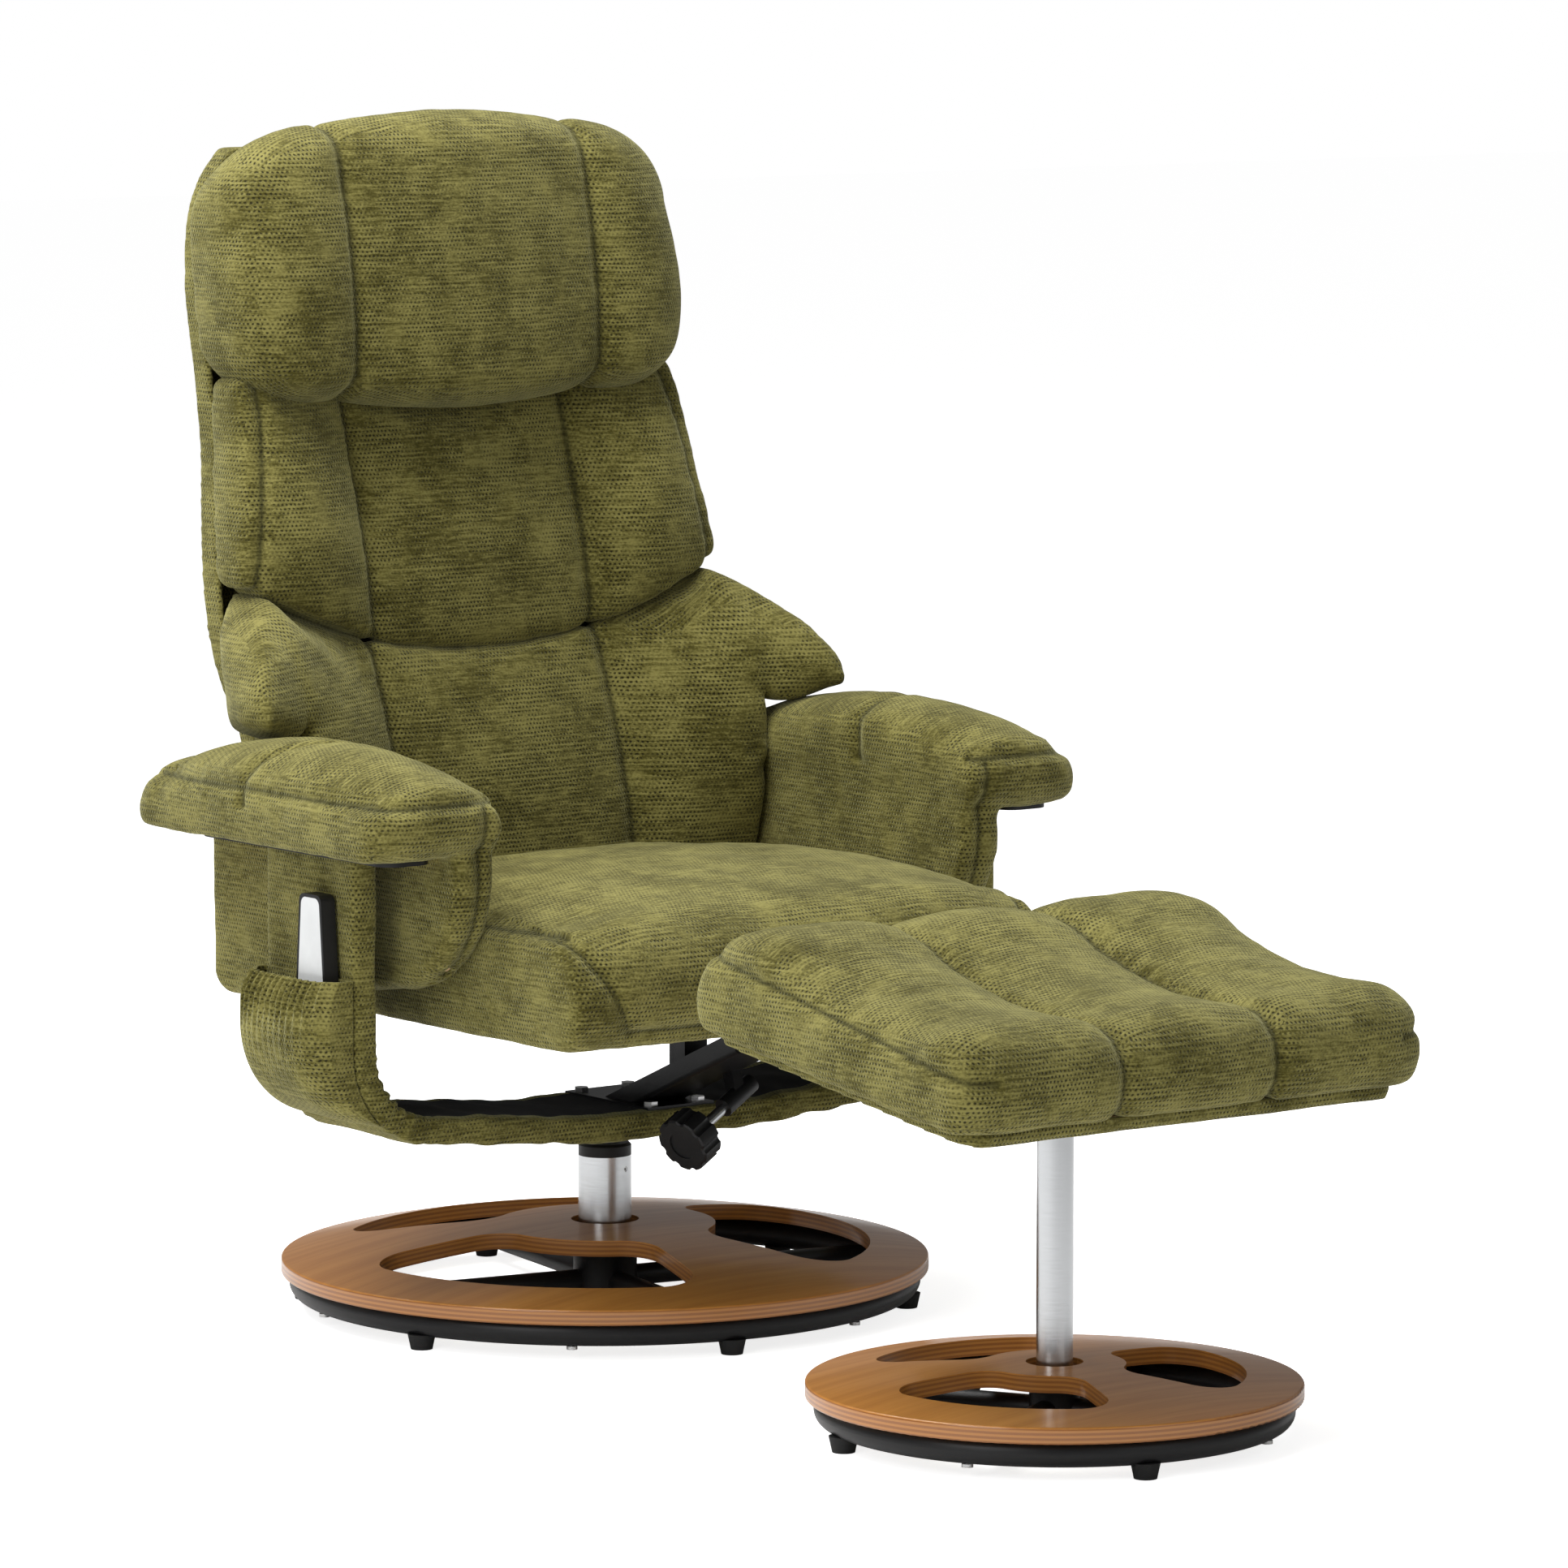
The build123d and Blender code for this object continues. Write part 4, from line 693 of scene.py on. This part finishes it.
class RECLINER_OT_back_cushions(bpy.types.Operator):
    """Pad the lower and the upper back cushion"""
    bl_idname = "recliner.back_cushions"
    bl_label = "Back cushions"

    def execute(self, context):
        lower = make_pad(
            "lower_back_cushion", ["back_lower_cushion"], lambda p: behind_back(p) < 0.024,
            [upright_seam(0.130)], swell=0.012, shape=droop_wings, plump=0.005)
        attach(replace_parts(lower, "back_lower_cushion"), "back")
        upper = make_pad(
            "upper_back_cushion", ["back_upper_cushion"], lambda p: behind_back(p) < 0.024,
            [upright_seam(0.125), upper_edge_seam], swell=0.012, shape=tuck_under_headrest,
            plump=0.005)
        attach(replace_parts(upper, "back_upper_cushion"), "back")
        return {"FINISHED"}


class RECLINER_OT_headrest(bpy.types.Operator):
    """Pad the headrest roll"""
    bl_idname = "recliner.headrest"
    bl_label = "Headrest"

    def execute(self, context):
        roll = make_pad(
            "headrest_roll", ["back_headrest"], lambda p: behind_back(p) < 0.026,
            [upright_seam(0.140)], swell=0.014, plump=0.006)
        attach(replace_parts(roll, "back_headrest"), "back")
        return {"FINISHED"}


class RECLINER_OT_rear_cover(bpy.types.Operator):
    """Cover the rear shell of the back"""
    bl_idname = "recliner.rear_cover"
    bl_label = "Rear cover"

    def execute(self, context):
        cover = copy_of_nodes("rear_cover", "back_rear_shell")
        remesh(cover, 0.0024)
        smooth(cover, 0.5, 12)
        fewer = cover.modifiers.new("Fewer", "DECIMATE")
        fewer.ratio = 0.35
        apply_modifier(cover, fewer)
        press_seams(cover, [], lumps=0.0012)
        finish_piece(cover, chenille_material())
        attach(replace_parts(cover, "back_rear_shell"), "back")
        return {"FINISHED"}


class RECLINER_OT_seat(bpy.types.Operator):
    """Pad the seat cushion"""
    bl_idname = "recliner.seat"
    bl_label = "Seat cushion"

    def execute(self, context):
        low = seat_box[0].z
        seat = make_pad(
            "seat_pad", ["seat_cushion"], lambda p: p.z < low + 0.03, seat_seams(), swell=0.010)
        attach(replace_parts(seat, "seat_cushion"), "seat")
        return {"FINISHED"}


class RECLINER_OT_arms(bpy.types.Operator):
    """Pad both arms, each pad with its side panel in one cover"""
    bl_idname = "recliner.arms"
    bl_label = "Arms"

    def execute(self, context):
        under = pad_box[0].z
        for hand in ("left", "right"):
            side = 1 if hand == "left" else -1
            arm = make_pad(
                f"arm_{hand}", [f"arm_pad_{hand}", f"arm_panel_{hand}"],
                lambda p: p.z < under + 0.012,
                arm_seams(side, under), voxel=0.005, swell=0.008, relax=2)
            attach(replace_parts(arm, f"arm_pad_{hand}", f"arm_panel_{hand}"), "yoke")
        return {"FINISHED"}


SLEEVE_THICKNESS = 0.0256
SLEEVE_BEND = 0.0775
BEND_STEPS = 12
LINING_HALF_WIDTH = 0.056


def sleeve_line(half, low, top, centre_y):
    """Middle line of the sleeve from arm to arm, and the centre of its bend."""
    flat, rise = 0.095, 0.024
    slope = math.atan2(rise, half - flat)
    corner_turn = math.pi / 2 - slope
    reach = SLEEVE_BEND * math.tan(corner_turn / 2)
    turn_x, turn_z = half - SLEEVE_BEND, low + rise + reach
    line = [Vector((half, centre_y, z)) for z in (top, top - 0.05, top - 0.1, turn_z + 0.02)]
    for step in range(BEND_STEPS + 1):
        angle = corner_turn * step / BEND_STEPS
        x = turn_x + SLEEVE_BEND * math.cos(angle)
        z = turn_z - SLEEVE_BEND * math.sin(angle)
        line.append(Vector((x, centre_y, z)))
    bend_end = line[-1]
    for share in (0.15, 0.4, 0.7, 1.0):
        line.append(bend_end.lerp(Vector((flat, centre_y, low)), share))
    line.append(Vector((0.0, centre_y, low)))
    line += [Vector((-p.x, p.y, p.z)) for p in reversed(line[:-1])]
    return line, turn_x, turn_z


def sleeve_mesh(line, width):
    """Corners and faces of a flat closed tube along the line."""
    corners = []
    faces = []
    end = len(line) - 1
    for index, point in enumerate(line):
        ahead = (line[min(index + 1, end)] - line[max(index - 1, 0)]).normalized()
        out = Vector((-ahead.z, 0.0, ahead.x))
        for across, deep in ((-0.5, -0.5), (0.5, -0.5), (0.5, 0.5), (-0.5, 0.5)):
            corners.append(point + Vector((0, width * across, 0)) + out * (SLEEVE_THICKNESS * deep))
    for index in range(end):
        for side in range(4):
            first, second = 4 * index + side, 4 * index + (side + 1) % 4
            faces.append((first, second, second + 4, first + 4))
    last = 4 * end
    faces.append((3, 2, 1, 0))
    faces.append((last, last + 1, last + 2, last + 3))
    return corners, faces


def line_sleeve(sleeve, half, turn_z, centre_y):
    """Black lining on the inner side of the sleeve, short of its edges."""
    for face in sleeve.data.polygons:
        inwards = Vector((-face.center.x / half, 0, 1 if face.center.z < turn_z else 0))
        if face.normal.dot(inwards) > 0.6 and abs(face.center.y - centre_y) < LINING_HALF_WIDTH:
            face.material_index = 1


def crease_sleeve(sleeve, turn_x, turn_z):
    """Gather the sleeve's cloth in creases round the inside of each bend and along the run."""
    mesh = sleeve.data
    normals = [v.normal.copy() for v in mesh.vertices]
    for vertex, normal in zip(mesh.vertices, normals):
        place = vertex.co.copy()
        out = Vector((abs(place.x) - turn_x, 0, place.z - turn_z))
        angle = math.atan2(-out.z, out.x)
        bent = 0.0 if out.x < -0.03 else max(0.0, 1.0 - abs(angle - 0.8) / 1.1)
        inside = 1.0 if out.length < SLEEVE_BEND else 0.45
        wave = math.sin(angle * 34 + 3 * noise.noise(place * 14)) * bent * inside
        below = 1.0 if place.z < turn_z - 0.06 else 0.3
        run = noise.noise(Vector((place.x * 38, place.y * 9, 1.0))) * below
        vertex.co = place + normal * (wave * 0.0021 + run * 0.0022)
    mesh.update()


class RECLINER_OT_sleeve(bpy.types.Operator):
    """Wrap the bent tubes in their cloth sleeve"""
    bl_idname = "recliner.sleeve"
    bl_label = "Yoke sleeve"

    def execute(self, context):
        half = sleeve_box[1].x - SLEEVE_THICKNESS / 2
        low, top = sleeve_box[0].z + SLEEVE_THICKNESS / 2, sleeve_box[1].z + 0.0055
        width = sleeve_box[1].y - sleeve_box[0].y
        centre_y = (sleeve_box[0].y + sleeve_box[1].y) / 2
        line, turn_x, turn_z = sleeve_line(half, low, top, centre_y)
        corners, faces = sleeve_mesh(line, width)
        bpy.ops.object.select_all(action="DESELECT")
        bpy.ops.mesh.primitive_plane_add(size=1.0)
        sleeve = context.view_layer.objects.active
        sleeve.name = "yoke_cover"
        bpy.ops.object.mode_set(mode="EDIT")
        bpy.ops.mesh.delete(type="VERT")
        bpy.ops.object.mode_set(mode="OBJECT")
        sleeve.data.from_pydata(corners, [], faces)
        activate(sleeve)
        bpy.ops.object.mode_set(mode="EDIT")
        bpy.ops.mesh.select_all(action="SELECT")
        bpy.ops.mesh.normals_make_consistent(inside=False)
        bpy.ops.object.mode_set(mode="OBJECT")
        remesh(sleeve, 0.0042)
        smooth(sleeve, 0.5, 8)
        crease_sleeve(sleeve, turn_x, turn_z)
        press_seams(sleeve, [], lumps=0.0014)
        finish_piece(sleeve, chenille_material())
        sleeve.data.materials.append(black_cloth_material())
        line_sleeve(sleeve, half, turn_z, centre_y)
        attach(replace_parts(sleeve, "yoke_sleeve"), "yoke")
        return {"FINISHED"}


GATHER_PITCH = 0.0092
GATHER_HEIGHT = 0.0024


class RECLINER_OT_pocket(bpy.types.Operator):
    """Sew the handset pocket, gathered by the elastic in its mouth"""
    bl_idname = "recliner.pocket"
    bl_label = "Handset pocket"

    def execute(self, context):
        pocket = copy_of_nodes("gathered_pocket", "handset_pocket")
        remesh(pocket, 0.0009)
        smooth(pocket, 0.5, 6)
        mouth, handset_face = pocket_box[1].z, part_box("handset_face")[0].x
        front_end, rear_end = pocket_box[0].y, pocket_box[1].y
        for vertex in pocket.data.vertices:
            place = vertex.co
            drop = mouth - place.z
            from_end = min(place.y - front_end, rear_end - place.y)
            free = ramp(handset_face - place.x, 0.001, 0.005) * ramp(from_end, 0.002, 0.016)
            gather = math.exp(-((drop - 0.012) / 0.018) ** 2) + 0.45 * math.exp(-drop / 0.05)
            stray = 2.5 * noise.noise(Vector((0, place.y * 25, drop * 9)))
            wave = math.sin(place.y * 2 * math.pi / GATHER_PITCH + stray)
            place.x -= free * gather * GATHER_HEIGHT * (1.05 + wave)
        pocket.data.update()
        press_seams(pocket, [], lumps=0.0)
        finish_piece(pocket, chenille_material())
        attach(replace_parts(pocket, "handset_pocket"), "yoke")
        return {"FINISHED"}


class RECLINER_OT_stool_top(bpy.types.Operator):
    """Pad the footstool and cover its skirt"""
    bl_idname = "recliner.stool_top"
    bl_label = "Footstool top"

    def execute(self, context):
        pad = make_pad(
            "stool_pad", ["stool_cushion"], lambda p: above_stool(p) < 0.022,
            [upright_seam(0.084, stool_axis.x), stool_end_seam], swell=0.012)
        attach(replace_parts(pad, "stool_cushion"), "stool_top")
        skirt = copy_of_nodes("stool_cover", "stool_skirt", "stool_board")
        remesh(skirt, 0.004)
        smooth(skirt, 0.5, 3)
        press_seams(skirt, [], lumps=0.0008)
        finish_piece(skirt, chenille_material())
        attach(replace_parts(skirt, "stool_skirt"), "stool_top")
        return {"FINISHED"}


class RECLINER_OT_hard_finishes(bpy.types.Operator):
    """Finish the wood, steel, chrome, rubber and plastic pieces"""
    bl_idname = "recliner.hard_finishes"
    bl_label = "Hard finishes"

    def execute(self, context):
        colours = finishes()
        for name, node, centre in (("Base ply", "base_ply_disc", (0.0, 0.0)),
                                   ("Stool ply", "stool_ply_disc", (stool_axis.x, stool_axis.y))):
            dress(plywood_material(name, centre, DISC_DOME_RADIUS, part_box(node)[1].z), node)
        dress(grained_material("Black powder coat", colours.coat_black, 0.38, scale=1400.0),
              "base_ring_tube", "base_hub", "base_spokes", "stool_ring_tube", "stool_hub",
              "stool_spokes", "yoke_tubes", "yoke_base_plate", "arm_plates", "rail_foot_plate",
              "glide_rail", "clamp_barrel",
              "back_frame", "back_hinge_ears", "stool_socket", "stool_tilt_plate")
        dress(chrome_material(), "column_tube", "swivel_post", "stool_post", "clamp_rod")
        dress(grained_material("Zinc", ZINC, 0.35, metallic=1.0, relief=0.00005),
              "base_disc_screws", "stool_disc_screws", "column_bolt", "column_washer",
              "column_set_screw", "yoke_bolts", "stool_screws", "pivot_pins", "column_plug")
        dress(grained_material("Foot rubber", RUBBER, 0.7, scale=600.0),
              "base_feet", "stool_feet")
        plastic = grained_material(
            "Black plastic", colours.plastic_black, 0.45, scale=800.0, relief=0.0003)
        dress(plastic, "column_thrust_pad", "column_lower_bush", "column_collar", "clamp_knob",
              "seat_glide_shoe", "handset_body")
        dress(grained_material("White handset face", HANDSET_WHITE, 0.3, relief=0.00003, coat=0.4),
              "handset_face")
        dress(raw_wood_material(), "arm_boards", "arm_side_boards", "seat_frame", "stool_board")
        dress(black_cloth_material(), "back_webbing", "seat_webbing", "seat_dust_cover")
        return {"FINISHED"}


LAMP_TARGET = Vector((0.0, -0.2, 0.5))
FLAG_PLACES = (((-4.5, 0.6, 1.2), 90), ((3.6, -1.6, 1.2), 90), ((-1.5, -7.5, 1.2), 0))


class RECLINER_OT_stage(bpy.types.Operator):
    """Set the pale floor, the soft light and the camera"""
    bl_idname = "recliner.stage"
    bl_label = "Studio"

    def execute(self, context):
        stage = context.scene.recliner_stage
        bpy.ops.object.select_all(action="DESELECT")
        bpy.ops.mesh.primitive_plane_add(size=40.0, location=(0.0, 0.0, 0.0))
        floor = context.view_layer.objects.active
        floor.name = "studio_floor"
        material, tree, shader = new_material("Studio floor")
        shader.inputs["Base Color"].default_value = tuple(stage.floor)
        shader.inputs["Emission Color"].default_value = WHITE
        seen = tree.nodes.new("ShaderNodeLightPath").outputs["Is Camera Ray"]
        put(tree, shader.inputs["Emission Strength"], mix_value(tree, seen, 0.0, 0.80))
        shader.inputs["Roughness"].default_value = 0.9
        shader.inputs["Specular IOR Level"].default_value = 0.1
        floor.data.materials.append(material)
        world = bpy.data.worlds.new("Studio room")
        world.use_nodes = True
        room = world.node_tree
        seen = room.nodes.new("ShaderNodeLightPath").outputs["Is Camera Ray"]
        background = room.nodes["Background"]
        put(room, background.inputs["Strength"], mix_value(room, seen, stage.sky, 1.0))
        background.inputs["Color"].default_value = WHITE
        context.scene.world = world
        for name, place, size, power in (
                ("key_lamp", (-0.9, 0.4, 3.6), 3.0, stage.key_power),
                ("side_lamp", (-3.6, -1.6, 1.9), 1.8, stage.key_power * 0.20),
                ("fill_lamp", (0.6, -4.6, 2.2), 2.6, stage.key_power * 0.09)):
            bpy.ops.object.light_add(type="AREA", location=place)
            lamp = context.view_layer.objects.active
            lamp.name = name
            lamp.data.size = size
            lamp.data.energy = power
            aim = LAMP_TARGET - Vector(place)
            lamp.rotation_euler = aim.to_track_quat("-Z", "Y").to_euler()
        for place, turn in FLAG_PLACES:
            bpy.ops.mesh.primitive_plane_add(size=1.0, location=place, rotation=(
                math.radians(90), 0, math.radians(turn)))
            flag = context.view_layer.objects.active
            flag.name = "black_flag"
            flag.scale = (0.7, 2.4, 1.0)
            bpy.ops.object.transform_apply(location=True, rotation=True, scale=True)
            flag.data.materials.append(grained_material("Flag cloth", FLAG_BLACK, 0.9))
        bpy.ops.object.camera_add(location=stage.camera_place)
        camera = context.view_layer.objects.active
        camera.name = "photo_camera"
        camera.rotation_euler = Vector(stage.camera_aim).to_track_quat("-Z", "Y").to_euler()
        camera.data.sensor_width = 36.0
        camera.data.lens = stage.camera_lens
        camera.data.clip_end = 100.0
        context.scene.camera = camera
        context.scene.view_settings.view_transform = "Standard"
        return {"FINISHED"}


OPERATORS = (
    RECLINER_OT_back_cushions, RECLINER_OT_headrest, RECLINER_OT_rear_cover, RECLINER_OT_seat,
    RECLINER_OT_arms, RECLINER_OT_sleeve, RECLINER_OT_pocket, RECLINER_OT_stool_top,
    RECLINER_OT_hard_finishes, RECLINER_OT_stage,
)


class RECLINER_PT_panel(bpy.types.Panel):
    """Lists the steps that dress the recliner"""
    bl_idname = "RECLINER_PT_panel"
    bl_label = "Swivel recliner"
    bl_space_type = "VIEW_3D"
    bl_region_type = "UI"
    bl_category = "Recliner"

    def draw(self, context):
        for operator in OPERATORS:
            self.layout.operator(operator.bl_idname)


PROPERTIES = (
    ("recliner_upholstery", RECLINER_PG_upholstery),
    ("recliner_finishes", RECLINER_PG_finishes),
    ("recliner_stage", RECLINER_PG_stage),
)


def register():
    for name, group in PROPERTIES:
        bpy.utils.register_class(group)
        setattr(bpy.types.Scene, name, bpy.props.PointerProperty(type=group))
    for made in OPERATORS + (RECLINER_PT_panel,):
        bpy.utils.register_class(made)


def unregister():
    for made in reversed(OPERATORS + (RECLINER_PT_panel,)):
        bpy.utils.unregister_class(made)
    for name, group in reversed(PROPERTIES):
        delattr(bpy.types.Scene, name)
        bpy.utils.unregister_class(group)


def main():
    register()
    bpy.ops.recliner.back_cushions()
    bpy.ops.recliner.headrest()
    bpy.ops.recliner.rear_cover()
    bpy.ops.recliner.seat()
    bpy.ops.recliner.arms()
    bpy.ops.recliner.sleeve()
    bpy.ops.recliner.pocket()
    bpy.ops.recliner.stool_top()
    bpy.ops.recliner.hard_finishes()
    bpy.ops.recliner.stage()


if __name__ == "__main__":
    main()
